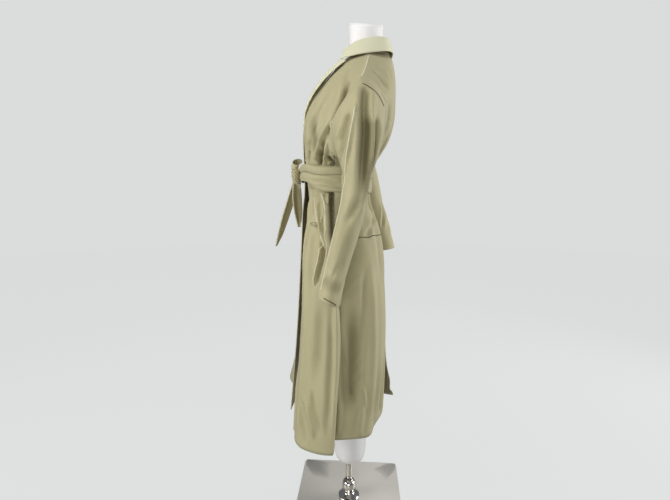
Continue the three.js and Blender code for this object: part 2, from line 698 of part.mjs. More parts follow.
function beltTurn({ name, low, high, crown, dipLow, dipHigh }) {
  const half = WAIST_STATIONS.map((s) => s.at);
  const loop = [...half, ...half.slice(1, -1).reverse().map(([x, y]) => [-x, y])];
  const path = smoothLine(loop.map(([x, y]) => new THREE.Vector3(x, y, 0)), true);
  const grid = [];
  for (let i = 0; i <= BELT_ACROSS; i += 1) {
    const h = i / BELT_ACROSS;
    grid.push(
      Array.from({ length: BELT_AROUND }, (_, j) => {
        const point = path.getPoint(j / BELT_AROUND);
        const outward = new THREE.Vector3(point.x, point.y + 40, 0).normalize();
        const front = smooth((-point.y - BELT_TILT.from) / BELT_TILT.over);
        const tilt = BELT_TILT.rise * front ** 2 - BELT_TILT.sink * (1 - front);
        point.addScaledVector(outward, -BELT_INSET + crown * Math.sin(Math.PI * h) ** 0.7);
        point.z = lerp(low + dipLow * front, high + dipHigh * front, h) + tilt;
        return point;
      }),
    );
  }
  clothWall(name, grid, { side: 1, thick: BELT_TURN_CLOTH, around: true });
}

// A strip of belt along a path of stations: middle point, facing angle, narrowing and bow
function strip(name, stations, { width, thick = BELT_CLOTH, steps = 3, material = TWILL }) {
  const curve = smoothLine(stations.map((s) => v3(s.at)));
  const rows = (stations.length - 1) * steps;
  const grid = [];
  for (let i = 0; i <= rows; i += 1) {
    const place = (i / rows) * (stations.length - 1);
    const k = Math.min(Math.floor(place), stations.length - 2);
    const pick = (key) => lerp(stations[k][key], stations[k + 1][key], place - k);
    const facing = radians(pick("facing"));
    const across = new THREE.Vector3(Math.cos(facing), Math.sin(facing), 0);
    const half = (width / 2) * pick("narrow");
    const bow = pick("bow");
    const middle = curve.getPoint(i / rows);
    const row = [];
    for (let j = 0; j <= 4; j += 1) {
      const u = j / 2 - 1;
      const point = middle.clone().addScaledVector(across, u * half);
      point.addScaledVector(new THREE.Vector3(-across.y, across.x, 0), bow * (u * u - 0.5));
      row.push(point);
    }
    grid.push(row);
  }
  clothWall(name, grid, { side: 1, thick, material });
}

const TAIL_STATIONS = [
  { at: [-20.3, -164.2, 1008], facing: -30, narrow: 0.5, bow: 4 },
  { at: [-20, -178, 958], facing: -26, narrow: 0.8, bow: 5 },
  { at: [-16, -196, 900], facing: -19, narrow: 0.95, bow: 4 },
  { at: [-14, -211, 850], facing: -14, narrow: 0.8, bow: 2 },
  { at: [-14, -223, 816], facing: -10, narrow: 0.2, bow: 0 },
];
const SHORT_TAIL_STATIONS = [
  { at: [24.6, -155.4, 1000], facing: -62, narrow: 0.5, bow: 3 },
  { at: [26, -155, 958], facing: -56, narrow: 0.64, bow: 6 },
  { at: [24, -153, 920], facing: -52, narrow: 0.56, bow: 6 },
  { at: [24, -149.5, 876], facing: -48, narrow: 0.16, bow: 2 },
];

// The knot is the belt wrapped once round itself: level rings with soft creases, narrowing downward
const KNOT_X = 4;
const KNOT_AROUND = 14;
const KNOT_CREASE = { deep: 0.05, count: 3, twist: 0.9 };
const KNOT_STATIONS = [
  { z: 994, y: -157, deep: 3, half: 8 },
  { z: 997, y: -157.6, deep: 6.5, half: 14 },
  { z: 1005, y: -159.6, deep: 9.6, half: 20 },
  { z: 1016, y: -161.7, deep: 11.7, half: 24 },
  { z: 1028, y: -162.6, deep: 12.2, half: 24 },
  { z: 1038, y: -162.8, deep: 12.2, half: 20 },
  { z: 1042, y: -162.4, deep: 9, half: 15 },
];

function knot() {
  const positions = [];
  const triangles = [];
  KNOT_STATIONS.forEach((s, i) => {
    for (let j = 0; j < KNOT_AROUND; j += 1) {
      const turn = (2 * Math.PI * j) / KNOT_AROUND;
      const crease = 1 - KNOT_CREASE.deep * (1 + Math.cos(KNOT_CREASE.count * turn + KNOT_CREASE.twist * i));
      positions.push(
        KNOT_X + s.half * crease * Math.cos(turn),
        s.y + s.deep * crease * Math.sin(turn),
        s.z,
      );
    }
  });
  const middle = positions.length / 3;
  const [first, last] = [KNOT_STATIONS[0], KNOT_STATIONS[KNOT_STATIONS.length - 1]];
  positions.push(KNOT_X, first.y, first.z, KNOT_X, last.y, last.z);
  for (let i = 0; i < KNOT_STATIONS.length - 1; i += 1) {
    for (let j = 0; j < KNOT_AROUND; j += 1) {
      const [a, b] = [i * KNOT_AROUND + j, i * KNOT_AROUND + ((j + 1) % KNOT_AROUND)];
      triangles.push(a, b, b + KNOT_AROUND, a, b + KNOT_AROUND, a + KNOT_AROUND);
    }
  }
  const top = (KNOT_STATIONS.length - 1) * KNOT_AROUND;
  for (let j = 0; j < KNOT_AROUND; j += 1) {
    const next = (j + 1) % KNOT_AROUND;
    triangles.push(middle, next, j, middle + 1, top + j, top + next);
  }
  addPiece("belt_knot", positions, triangles, TWILL);
}

// The end of the wrap stands open above the knot, its mouth tilted to the wearer's left
const LOOP = {
  bottom: { y: -163.2, z: 1043.2, reachX: 16, reachY: 10.5 },
  top: { y: -155, z: 1066, reachX: 14, reachY: 15 },
  tilt: 0.75,
  around: 18,
  rows: 4,
  thick: 2.4,
};

function bowLoop() {
  const { bottom, top } = LOOP;
  const grid = [];
  for (let i = 0; i <= LOOP.rows; i += 1) {
    const up = i / LOOP.rows;
    const flare = up ** 3;
    grid.push(
      Array.from({ length: LOOP.around }, (_, j) => {
        const turn = (2 * Math.PI * j) / LOOP.around;
        const x = lerp(bottom.reachX, top.reachX, up) * Math.cos(turn);
        const y = lerp(bottom.y, top.y, flare) + lerp(bottom.reachY, top.reachY, flare) * Math.sin(turn);
        return new THREE.Vector3(KNOT_X + x, y, lerp(bottom.z, top.z, up) - LOOP.tilt * up * x);
      }),
    );
  }
  clothWall("belt_loop", grid, { side: 1, thick: LOOP.thick, around: true });
}

// Belt carriers are narrow strips sewn on below the belt, bowed out because it has slipped up
const CARRIER = { top: 13.72, bottom: 12.2, col: 12.2, width: 7, thick: 1.6, ends: 1.8, bow: 9, steps: 8 };

function carrier(name, grid, side) {
  const rows = [];
  for (let i = 0; i <= CARRIER.steps; i += 1) {
    const t = i / CARRIER.steps;
    const place = onPanel(grid, side, lerp(CARRIER.bottom, CARRIER.top, t), CARRIER.col);
    const out = CARRIER.ends + CARRIER.bow * Math.sin(Math.PI * t);
    place.at.addScaledVector(place.normal, out);
    const across = new THREE.Vector3(-place.normal.y, place.normal.x, 0);
    across.setLength((side * CARRIER.width) / 2);
    rows.push([-1, 0, 1].map((u) => place.at.clone().addScaledVector(across, u)));
  }
  clothWall(name, rows, { side, thick: CARRIER.thick });
}

// Welt pockets lie on the front panels
const POCKET = { row: 10.05, high: 0.66, arch: 0.18, col: 7, wide: 3.72, lift: 3.3 };

function pocketWelt(name, grid, side) {
  const rows = [];
  for (let i = 0; i <= 3; i += 1) {
    const row = [];
    for (let j = 0; j <= 6; j += 1) {
      const along = j / 6;
      const height = POCKET.row + (POCKET.high * i) / 3 + POCKET.arch * Math.sin(Math.PI * along);
      const place = onPanel(grid, side, height, POCKET.col + POCKET.wide * along);
      row.push(place.at.addScaledVector(place.normal, POCKET.lift));
    }
    rows.push(row);
  }
  clothWall(name, rows, { side, thick: 1.8 });
}

// The dress form: level rings of half width and front and back reach, smooth and whole
const FORM_STATIONS = [
  { z: 137, half: 26, front: -24, back: 30 },
  { z: 140, half: 42, front: -37, back: 43 },
  { z: 152, half: 54, front: -44, back: 50 },
  { z: 175, half: 60, front: -48, back: 53 },
  { z: 230, half: 64, front: -50, back: 55 },
  { z: 330, half: 70, front: -54, back: 58 },
  { z: 480, half: 86, front: -66, back: 68 },
  { z: 620, half: 108, front: -80, back: 80 },
  { z: 740, half: 130, front: -92, back: 84 },
  { z: 830, half: 138, front: -98, back: 74 },
  { z: 900, half: 128, front: -98, back: 50 },
  { z: 960, half: 112, front: -98, back: 34 },
  { z: 1015, half: 102, front: -96, back: 32 },
  { z: 1070, half: 110, front: -98, back: 42 },
  { z: 1130, half: 124, front: -108, back: 76 },
  { z: 1185, half: 134, front: -108, back: 96 },
  { z: 1225, half: 158, front: -74, back: 99 },
  { z: 1262, half: 154.2, front: -44, back: 102 },
  { z: 1292, half: 133, front: -22, back: 100 },
  { z: 1318, half: 92, front: -7, back: 96 },
  { z: 1345, half: 50, front: -6, back: 88 },
  { z: 1395, half: 47, front: -8, back: 90 },
  { z: 1443.5, half: 48, front: -8, back: 92, slant: -5, dip: 16 },
];

function dressForm() {
  const around = 24;
  const positions = [];
  const triangles = [];
  const rings = FORM_STATIONS.map((s) =>
    Array.from({ length: around }, (_, j) => {
      const turn = (2 * Math.PI * j) / around;
      const middle = (s.front + s.back) / 2;
      const deep = (s.back - s.front) / 2;
      const y = middle + deep * Math.sin(turn);
      const tilt = ((s.slant ?? 0) * (y - middle)) / (2 * deep);
      const dip = (s.dip ?? 0) * Math.cos(turn) ** 2;
      return [s.half * Math.cos(turn), y, s.z + tilt - dip];
    }),
  );
  rings.flat().forEach((p) => positions.push(...p));
  const foot = positions.length / 3;
  const [first, last] = [FORM_STATIONS[0], FORM_STATIONS[FORM_STATIONS.length - 1]];
  positions.push(0, (first.front + first.back) / 2, first.z, 0, (last.front + last.back) / 2, last.z);
  for (let i = 0; i < rings.length - 1; i += 1) {
    for (let j = 0; j < around; j += 1) {
      const [a, b] = [i * around + j, i * around + ((j + 1) % around)];
      triangles.push(a, b, b + around, a, b + around, a + around);
    }
  }
  const top = (rings.length - 1) * around;
  for (let j = 0; j < around; j += 1) {
    const next = (j + 1) % around;
    triangles.push(foot, next, j, foot + 1, top + j, top + next);
  }
  addPiece("form_body", positions, triangles, FORM_WHITE);
}

// Stand: a pole from the form down into a hub on a square steel plate
function stand() {
  const lathe = (name, profile, material, sides = 20) => {
    const geometry = new THREE.LatheGeometry(profile.map(([r, z]) => new THREE.Vector2(r, z)), sides);
    const mesh = new THREE.Mesh(geometry, material);
    mesh.name = name;
    mesh.rotation.x = Math.PI / 2;
    coat.add(mesh);
  };
  const bottom = PLATE.thick + SEAM_GAP;
  const poleFoot = HUB.top + SEAM_GAP;
  const poleTop = FORM_STATIONS[0].z - SEAM_GAP;
  lathe("pole", [[0, poleFoot], [POLE.radius, poleFoot], [POLE.radius, poleTop], [0, poleTop]], CHROME);
  lathe(
    "pole_hub",
    [
      [0, bottom],
      [HUB.boss, bottom],
      [HUB.boss, bottom + 4],
      [HUB.boss - 6, bottom + 8],
      [HUB.radius * 0.72, bottom + 14],
      [HUB.radius * 0.8, HUB.top - 32],
      [HUB.radius, HUB.top - 24],
      [HUB.radius, HUB.top - 10],
      [HUB.radius * 0.85, HUB.top - 3],
      [POLE.radius + 2, HUB.top],
      [0, HUB.top],
    ],
    CHROME,
  );
  const shape = new THREE.Shape();
  const half = PLATE.side / 2;
  const r = PLATE.corner;
  shape.moveTo(-half + r, -half);
  for (const start of [-90, 0, 90, 180]) {
    const out = radians(start + 45);
    const x = Math.sign(Math.cos(out)) * (half - r);
    const y = Math.sign(Math.sin(out)) * (half - r);
    shape.absarc(x, y, r, radians(start), radians(start + 90), false);
  }
  const slabSizes = { depth: PLATE.thick, bevelEnabled: false, curveSegments: 4 };
  const slab = new THREE.ExtrudeGeometry(shape, slabSizes);
  const plate = new THREE.Mesh(slab, STEEL);
  plate.name = "base_plate";
  plate.rotation.z = radians(-PLATE.yaw);
  coat.add(plate);
}

const frontLeft = frontPanel("front_left", [...LEFT_SKIRT, ...UPPER_FRONT], LEFT_FRONT_FOLDS, false);
const rightFrontTable = [...RIGHT_SKIRT, ...rightUpperFront];
const frontRight = frontPanel("front_right", rightFrontTable, RIGHT_FRONT_FOLDS, true);
const rightBackTable = [...RIGHT_BACK_SKIRT, ...LEFT_BACK_SKIRT.slice(5), ...UPPER_BACK];
backPanel("back_left", [...LEFT_BACK_SKIRT, ...UPPER_BACK], LEFT_BACK_FOLDS, false);
backPanel("back_right", rightBackTable, RIGHT_BACK_FOLDS, true);
sleeve("sleeve_left", LEFT_SLEEVE, LEFT_SLEEVE_FOLDS, false);
sleeve("sleeve_right", RIGHT_SLEEVE, RIGHT_SLEEVE_FOLDS, true);
collar();
lapel("lapel_left", frontLeft, 1);
lapel("lapel_right", frontRight, -1);
BELT_TURNS.forEach(beltTurn);
knot();
bowLoop();
strip("belt_tail_long", TAIL_STATIONS, { width: BELT_WIDTH });
strip("belt_tail_short", SHORT_TAIL_STATIONS, { width: BELT_WIDTH });
carrier("belt_carrier_left", frontLeft, 1);
carrier("belt_carrier_right", frontRight, -1);
pocketWelt("pocket_left", frontLeft, 1);
pocketWelt("pocket_right", frontRight, -1);
dressForm();
stand();

export default coat;
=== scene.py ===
import math
from collections import namedtuple

import bmesh
import bpy
import numpy as np
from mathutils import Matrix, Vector
from mathutils.bvhtree import BVHTree


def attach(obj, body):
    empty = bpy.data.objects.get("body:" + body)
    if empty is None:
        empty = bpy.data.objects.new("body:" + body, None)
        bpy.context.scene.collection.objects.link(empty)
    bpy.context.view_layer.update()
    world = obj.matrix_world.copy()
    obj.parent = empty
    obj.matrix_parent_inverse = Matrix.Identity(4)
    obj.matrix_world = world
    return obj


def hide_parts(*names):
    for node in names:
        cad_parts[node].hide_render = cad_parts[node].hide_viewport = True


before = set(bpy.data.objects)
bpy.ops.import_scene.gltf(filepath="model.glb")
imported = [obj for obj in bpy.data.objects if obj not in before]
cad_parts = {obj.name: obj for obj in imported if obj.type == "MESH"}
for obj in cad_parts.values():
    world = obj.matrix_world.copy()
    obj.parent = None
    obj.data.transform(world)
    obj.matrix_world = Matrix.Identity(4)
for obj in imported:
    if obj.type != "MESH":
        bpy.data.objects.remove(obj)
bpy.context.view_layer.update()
scene = bpy.context.scene
MM = 0.001

# Camera beside the wearer's left arm, a little below the shoulders
PHOTO_WIDTH_PX = 670
FOCAL_PX = 375
EYE = (1.125, -0.0451, 0.928)
DOWN_SLOPE = 375 / 3444


def place_object(name, data):
    made = bpy.data.objects.new(name, data)
    scene.collection.objects.link(made)
    return made


def turn_to(thing, way):
    thing.rotation_euler = Vector(way).to_track_quat("-Z", "Y").to_euler()


def store_values(mesh, name, values):
    mesh.attributes.new(name, "FLOAT", "POINT").data.foreach_set("value", values)


def side_camera():
    data = bpy.data.cameras.new("side_camera")
    data.sensor_fit = "HORIZONTAL"
    data.sensor_width = 36
    data.lens = FOCAL_PX / PHOTO_WIDTH_PX * data.sensor_width
    data.clip_start = 0.01
    camera = place_object("side_camera", data)
    camera.location = EYE
    turn_to(camera, (-1, 0, -DOWN_SLOPE))
    scene.camera = camera


# Node groups
def node_group(name, inputs, outputs):
    group = bpy.data.node_groups.new(name, "ShaderNodeTree")
    for label, value in inputs:
        socket = group.interface.new_socket(label, in_out="INPUT", socket_type="NodeSocketFloat")
        socket.default_value = value
    for label in outputs:
        group.interface.new_socket(label, in_out="OUTPUT", socket_type="NodeSocketFloat")
    entry = group.nodes.new("NodeGroupInput")
    leave = group.nodes.new("NodeGroupOutput")
    return group, entry, leave


def add(tree, kind, settings=(), values=()):
    node = tree.nodes.new(kind)
    for key, value in settings:
        setattr(node, key, value)
    for key, value in values:
        node.inputs[key].default_value = value
    return node


def math_node(tree, operation, first, second=None, third=None):
    node = add(tree, "ShaderNodeMath", [("operation", operation)])
    for index, value in enumerate((first, second, third)):
        if value is None:
            continue
        if isinstance(value, (int, float)):
            node.inputs[index].default_value = value
        else:
            tree.links.new(value, node.inputs[index])
    return node.outputs[0]


def twill_weave():
    """Diagonal ribs of the cloth, from Object coordinates: a height and a mask of the valleys."""
    group, entry, leave = node_group(
        "twill_weave", [("Ribs per metre", 900.0), ("Unevenness", 0.4)], ["Height", "Valley"]
    )
    link = group.links.new
    place = add(group, "ShaderNodeTexCoord")
    split = add(group, "ShaderNodeSeparateXYZ")
    link(place.outputs["Object"], split.inputs[0])
    level = math_node(group, "ADD", split.outputs["X"], split.outputs["Y"])
    diagonal = math_node(group, "MULTIPLY_ADD", split.outputs["Z"], 0.8, level)
    drift = add(group, "ShaderNodeTexNoise", values=[("Scale", 60.0), ("Detail", 2.0)])
    link(place.outputs["Object"], drift.inputs["Vector"])
    wander = math_node(group, "MULTIPLY", drift.outputs["Fac"], entry.outputs["Unevenness"])
    turns = math_node(group, "MULTIPLY", diagonal, entry.outputs["Ribs per metre"])
    phase = math_node(group, "MULTIPLY_ADD", wander, 6.0, turns)
    wave = math_node(group, "SINE", phase)
    height = math_node(group, "MULTIPLY_ADD", wave, 0.5, 0.5)
    link(height, leave.inputs["Height"])
    link(math_node(group, "SUBTRACT", 1.0, height), leave.inputs["Valley"])
    return group


def edge_stitching():
    """A row of thread a set distance in from a piece's edges, whose stitches rise and sink along the row,
    and a band along the rims.
    """
    group, entry, leave = node_group(
        "edge_stitching",
        [("Inset mm", 6.0), ("Thread mm", 0.9), ("Stitches per metre", 330.0)],
        ["Thread", "Edge", "Height"],
    )
    link = group.links.new
    edge = add(group, "ShaderNodeAttribute", [("attribute_name", "edge_mm")])
    place = add(group, "ShaderNodeTexCoord")
    split = add(group, "ShaderNodeSeparateXYZ")
    link(place.outputs["Object"], split.inputs[0])
    away = math_node(group, "SUBTRACT", edge.outputs["Fac"], entry.outputs["Inset mm"])
    near = math_node(group, "ABSOLUTE", away)
    line = math_node(group, "DIVIDE", near, entry.outputs["Thread mm"])
    row = math_node(group, "SUBTRACT", 1.0, math_node(group, "MINIMUM", line, 1.0))
    level = math_node(group, "ADD", split.outputs["Y"], split.outputs["X"])
    run = math_node(group, "ADD", split.outputs["Z"], level)
    pace = math_node(group, "MULTIPLY", entry.outputs["Stitches per metre"], 2 * math.pi)
    beat = math_node(group, "SINE", math_node(group, "MULTIPLY", run, pace))
    dash = math_node(group, "MULTIPLY_ADD", beat, 0.35, 0.65)
    thread = math_node(group, "MULTIPLY", row, dash)
    link(thread, leave.inputs["Thread"])
    # Rims within 3 mm turn lighter: partly wear, partly a painted highlight
    close = math_node(group, "DIVIDE", edge.outputs["Fac"], 3.0)
    lit = math_node(group, "SUBTRACT", 1.0, math_node(group, "MINIMUM", close, 1.0))
    link(lit, leave.inputs["Edge"])
    groove = math_node(group, "MULTIPLY", row, -1.0)
    raised = math_node(group, "MULTIPLY_ADD", thread, 1.3, groove)
    link(raised, leave.inputs["Height"])
    return group


def soft_variation():
    """Large and small cloudy changes over a surface, from Object coordinates."""
    group, entry, leave = node_group(
        "soft_variation", [("Scale", 9.0), ("Fine scale", 120.0)], ["Broad", "Fine"]
    )
    link = group.links.new
    place = add(group, "ShaderNodeTexCoord")
    broad = add(group, "ShaderNodeTexNoise", values=[("Detail", 3.0), ("Roughness", 0.5)])
    fine = add(group, "ShaderNodeTexNoise", values=[("Detail", 4.0), ("Roughness", 0.6)])
    link(place.outputs["Object"], broad.inputs["Vector"])
    link(place.outputs["Object"], fine.inputs["Vector"])
    link(entry.outputs["Scale"], broad.inputs["Scale"])
    link(entry.outputs["Fine scale"], fine.inputs["Scale"])
    link(broad.outputs["Fac"], leave.inputs["Broad"])
    link(fine.outputs["Fac"], leave.inputs["Fine"])
    return group


WEAVE = twill_weave()
STITCHING = edge_stitching()
VARIATION = soft_variation()


def new_material(name):
    material = bpy.data.materials.new(name)
    material.use_nodes = True
    tree = material.node_tree
    return material, tree, tree.nodes["Principled BSDF"]


def place_group(tree, group, values=()):
    node = tree.nodes.new("ShaderNodeGroup")
    node.node_tree = group
    for key, value in values:
        node.inputs[key].default_value = value
    return node


def mix_colour(tree, factor, first, second):
    node = add(tree, "ShaderNodeMix", [("data_type", "RGBA")])
    sockets = [node.inputs[0], node.inputs[6], node.inputs[7]]
    for socket, value in zip(sockets, (factor, first, second)):
        if isinstance(value, (int, float)):
            socket.default_value = value
        elif isinstance(value, tuple):
            socket.default_value = (*value, 1.0)
        else:
            tree.links.new(value, socket)
    return node.outputs[2]


def raise_bumps(tree, height, strength, distance, below=None):
    node = add(tree, "ShaderNodeBump", values=[("Strength", strength), ("Distance", distance)])
    tree.links.new(height, node.inputs["Height"])
    if below is not None:
        tree.links.new(below, node.inputs["Normal"])
    return node.outputs["Normal"]


# How far the painted shade of folds, the valleys of the weave, the worn edges with their painted highlight
# and the thread change the cloth's colour
FOLD_TONE = 0.5
DARKEST_FOLD = 0.93
VALLEY_TONE = 0.16
WORN_AND_LIT_EDGE_TONE = 0.3
THREAD_TONE = 0.55
CLOTH_ROUGHNESS = 0.64


def twill_cloth(name, light, dark, thread, shade):
    material, tree, shader = new_material(name)
    link = tree.links.new
    weave = place_group(tree, WEAVE)
    stitch = place_group(tree, STITCHING)
    cloud = place_group(tree, VARIATION)
    # Painted shade: folds, inner faces and the knot's wraps darken towards the shade colour by the stored
    # amount
    fold = add(tree, "ShaderNodeAttribute", [("attribute_name", "painted_fold_shade")])
    drawn = math_node(tree, "MULTIPLY", fold.outputs["Fac"], FOLD_TONE)
    deep = math_node(tree, "MINIMUM", drawn, DARKEST_FOLD)
    shaded = math_node(tree, "MAXIMUM", deep, 0.0)
    plain = mix_colour(tree, cloud.outputs["Broad"], dark, light)
    body = mix_colour(tree, shaded, plain, shade)
    valley = math_node(tree, "MULTIPLY", weave.outputs["Valley"], VALLEY_TONE)
    ribbed = mix_colour(tree, valley, body, dark)
    # Edges lightened towards the thread colour, partly as wear and partly as a painted highlight
    edge = math_node(tree, "MULTIPLY", stitch.outputs["Edge"], WORN_AND_LIT_EDGE_TONE)
    worn_and_lit = mix_colour(tree, edge, ribbed, thread)
    row = math_node(tree, "MULTIPLY", stitch.outputs["Thread"], THREAD_TONE)
    sewn = mix_colour(tree, row, worn_and_lit, thread)
    link(sewn, shader.inputs["Base Color"])
    rough = math_node(tree, "MULTIPLY_ADD", cloud.outputs["Fine"], 0.16, CLOTH_ROUGHNESS)
    link(rough, shader.inputs["Roughness"])
    ribs = raise_bumps(tree, weave.outputs["Height"], 0.25, 0.0003)
    slack = raise_bumps(tree, cloud.outputs["Fine"], 0.35, 0.0016, ribs)
    seam = raise_bumps(tree, stitch.outputs["Height"], 0.8, 0.0008, slack)
    link(seam, shader.inputs["Normal"])
    shader.inputs["Sheen Weight"].default_value = 0.08
    shader.inputs["Sheen Roughness"].default_value = 0.45
    shader.inputs["Specular IOR Level"].default_value = 0.32
    return material


def painted_form(name):
    material, tree, shader = new_material(name)
    link = tree.links.new
    cloud = place_group(tree, VARIATION, [("Scale", 6.0), ("Fine scale", 300.0)])
    paint = mix_colour(tree, cloud.outputs["Broad"], (0.80, 0.785, 0.76), (0.86, 0.845, 0.82))
    link(paint, shader.inputs["Base Color"])
    link(math_node(tree, "MULTIPLY_ADD", cloud.outputs["Fine"], 0.12, 0.40), shader.inputs["Roughness"])
    link(raise_bumps(tree, cloud.outputs["Fine"], 0.12, 0.0004), shader.inputs["Normal"])
    return material


def polished_chrome(name):
    material, tree, shader = new_material(name)
    link = tree.links.new
    cloud = place_group(tree, VARIATION, [("Scale", 14.0), ("Fine scale", 240.0)])
    metal = mix_colour(tree, cloud.outputs["Broad"], (0.60, 0.56, 0.50), (0.78, 0.76, 0.73))
    link(metal, shader.inputs["Base Color"])
    link(math_node(tree, "MULTIPLY_ADD", cloud.outputs["Fine"], 0.14, 0.08), shader.inputs["Roughness"])
    shader.inputs["Metallic"].default_value = 1.0
    return material


def brushed_plate(name):
    material, tree, shader = new_material(name)
    link = tree.links.new
    cloud = place_group(tree, VARIATION, [("Scale", 7.0), ("Fine scale", 90.0)])
    place = add(tree, "ShaderNodeTexCoord")
    along = add(tree, "ShaderNodeMapping", values=[("Scale", (700.0, 18.0, 18.0))])
    link(place.outputs["Object"], along.inputs["Vector"])
    brush = add(tree, "ShaderNodeTexNoise", values=[("Scale", 1.0), ("Detail", 3.0)])
    link(along.outputs["Vector"], brush.inputs["Vector"])
    base = mix_colour(tree, cloud.outputs["Broad"], (0.40, 0.38, 0.33), (0.52, 0.50, 0.45))
    scored = math_node(tree, "MULTIPLY", brush.outputs["Fac"], 0.4)
    link(mix_colour(tree, scored, base, (0.62, 0.60, 0.56)), shader.inputs["Base Color"])
    link(math_node(tree, "MULTIPLY_ADD", brush.outputs["Fac"], 0.2, 0.34), shader.inputs["Roughness"])
    shader.inputs["Metallic"].default_value = 0.45
    return material


OLIVE_TWILL = twill_cloth(
    "olive_twill", (0.46, 0.42, 0.25), (0.39, 0.35, 0.195), (0.66, 0.62, 0.44), (0.12, 0.10, 0.042)
)
# A lighter copy of the olive twill: painted light on the collar and lapels, which face the lamps
PAINTED_LIT_TWILL = twill_cloth(
    "painted_lit_twill", (0.70, 0.68, 0.48), (0.62, 0.60, 0.41), (0.78, 0.76, 0.60), (0.30, 0.27, 0.14)
)
# Paler than the cloth: thread, with a painted highlight on the seam ridges
SEAM_THREAD_AND_HIGHLIGHT = twill_cloth(
    "seam_thread_and_highlight", (0.70, 0.67, 0.48), (0.62, 0.58, 0.40), (0.74, 0.71, 0.54), (0.45, 0.42, 0.26)
)
# Near-black tubes: painted shadow in the seam grooves and under the cuff
PAINTED_SEAM_SHADOW = twill_cloth(
    "painted_seam_shadow", (0.07, 0.058, 0.022), (0.05, 0.042, 0.015), (0.10, 0.085, 0.04), (0.03, 0.025, 0.01)
)
FORM_PAINT = painted_form("form_paint")
CHROME = polished_chrome("pole_chrome")
PLATE_STEEL = brushed_plate("plate_steel")

# How a copy of a CAD node is refined
WELD = 2e-5
RIM_ANGLE = math.radians(48)
WALL_LIMIT = 0.004
QUAD_ANGLE = math.radians(70)
SHARP_ANGLE = math.radians(60)
EDGE_REACH = 0.04


def refined_copy(node, name, levels):
    """A merged copy of a node as quads, rounded by subdivision, with its rims kept and marked."""
    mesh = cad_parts[node].data.copy()
    piece = place_object(name, mesh)
    shape = bmesh.new()
    shape.from_mesh(mesh)
    bmesh.ops.remove_doubles(shape, verts=shape.verts, dist=WELD)
    bmesh.ops.join_triangles(
        shape, faces=shape.faces, angle_face_threshold=QUAD_ANGLE, angle_shape_threshold=QUAD_ANGLE
    )
    crease = shape.edges.layers.float.new("crease_edge")
    for edge in shape.edges:
        if len(edge.link_faces) == 2 and edge.calc_face_angle() > RIM_ANGLE:
            edge[crease] = 1.0
    for face in shape.faces:
        kept = [edge for edge in face.edges if edge[crease] > 0]
        thin = min(edge.calc_length() for edge in face.edges) < WALL_LIMIT
        face.material_index = 1 if thin and len(kept) >= 2 else 0
        face.smooth = True
    shape.to_mesh(mesh)
    shape.free()
    rounding = piece.modifiers.new("rounding", "SUBSURF")
    rounding.levels = levels
    rounding.render_levels = levels
    graph = bpy.context.evaluated_depsgraph_get()
    made = bpy.data.meshes.new_from_object(piece.evaluated_get(graph))
    made.name = name
    piece.modifiers.clear()
    piece.data = made
    bpy.data.meshes.remove(mesh)
    return piece


def mark_edges(piece):
    """Stores each point's distance from the piece's rims, in millimetres, for stitching and for the worn
    edges with their painted highlight.
    """
    mesh = piece.data
    rims = [list(face.vertices) for face in mesh.polygons if face.material_index == 1]
    tree = BVHTree.FromPolygons([vertex.co for vertex in mesh.vertices], rims)
    distances = []
    for vertex in mesh.vertices:
        away = tree.find_nearest(vertex.co, EDGE_REACH)[3]
        distances.append((EDGE_REACH if away is None else away) / MM)
    store_values(mesh, "edge_mm", distances)
    for face in mesh.polygons:
        face.material_index = 0


def line_distance(points, line, squash):
    """Distance of points from a bent line, and how far along it they lie, from 0 to 1."""
    line = np.array(line, dtype=float) * MM
    steps = np.linalg.norm(np.diff(line, axis=0), axis=1)
    total = steps.sum()
    best = np.full(len(points), 1e9)
    along = np.zeros(len(points))
    start = 0.0
    for first, last, length in zip(line[:-1], line[1:], steps):
        run = last - first
        t = (points - first) @ run / (length * length)
        clamped = np.clip(t, 0, 1)
        away = (points - (first + clamped[:, None] * run)) * np.array(squash)
        distance = np.linalg.norm(away, axis=1)
        closer = distance < best
        best[closer] = distance[closer]
        along[closer] = (start + clamped[closer] * length) / total
        start += length
    return best, along


def smooth_step(t):
    t = np.clip(t, 0, 1)
    return t * t * (3 - 2 * t)


# Folds are pressed a little deeper than drawn, and their painted shade is full from this depth
FOLD_GAIN = 1.15
FOLD_SPREAD = 0.86
DEEP_FOLD = 0.012
# The inner face gets painted shade, but not where it stands out past the front edge into the light
INNER_FACE_PAINTED_SHADE = 1.7
INNER_FACE_LIT_PAST = 0.158
INNER_FACE_LIT_FADE = 0.02
# The cloth rises a little on both sides of a fold
RISE = 0.35
RISE_AWAY = 1.9

# Distances count for less along the way that the cloth faces, so a line needs no exact depth
SQUASH = {"side": (0.35, 1, 1), "end": (1, 0.35, 1)}


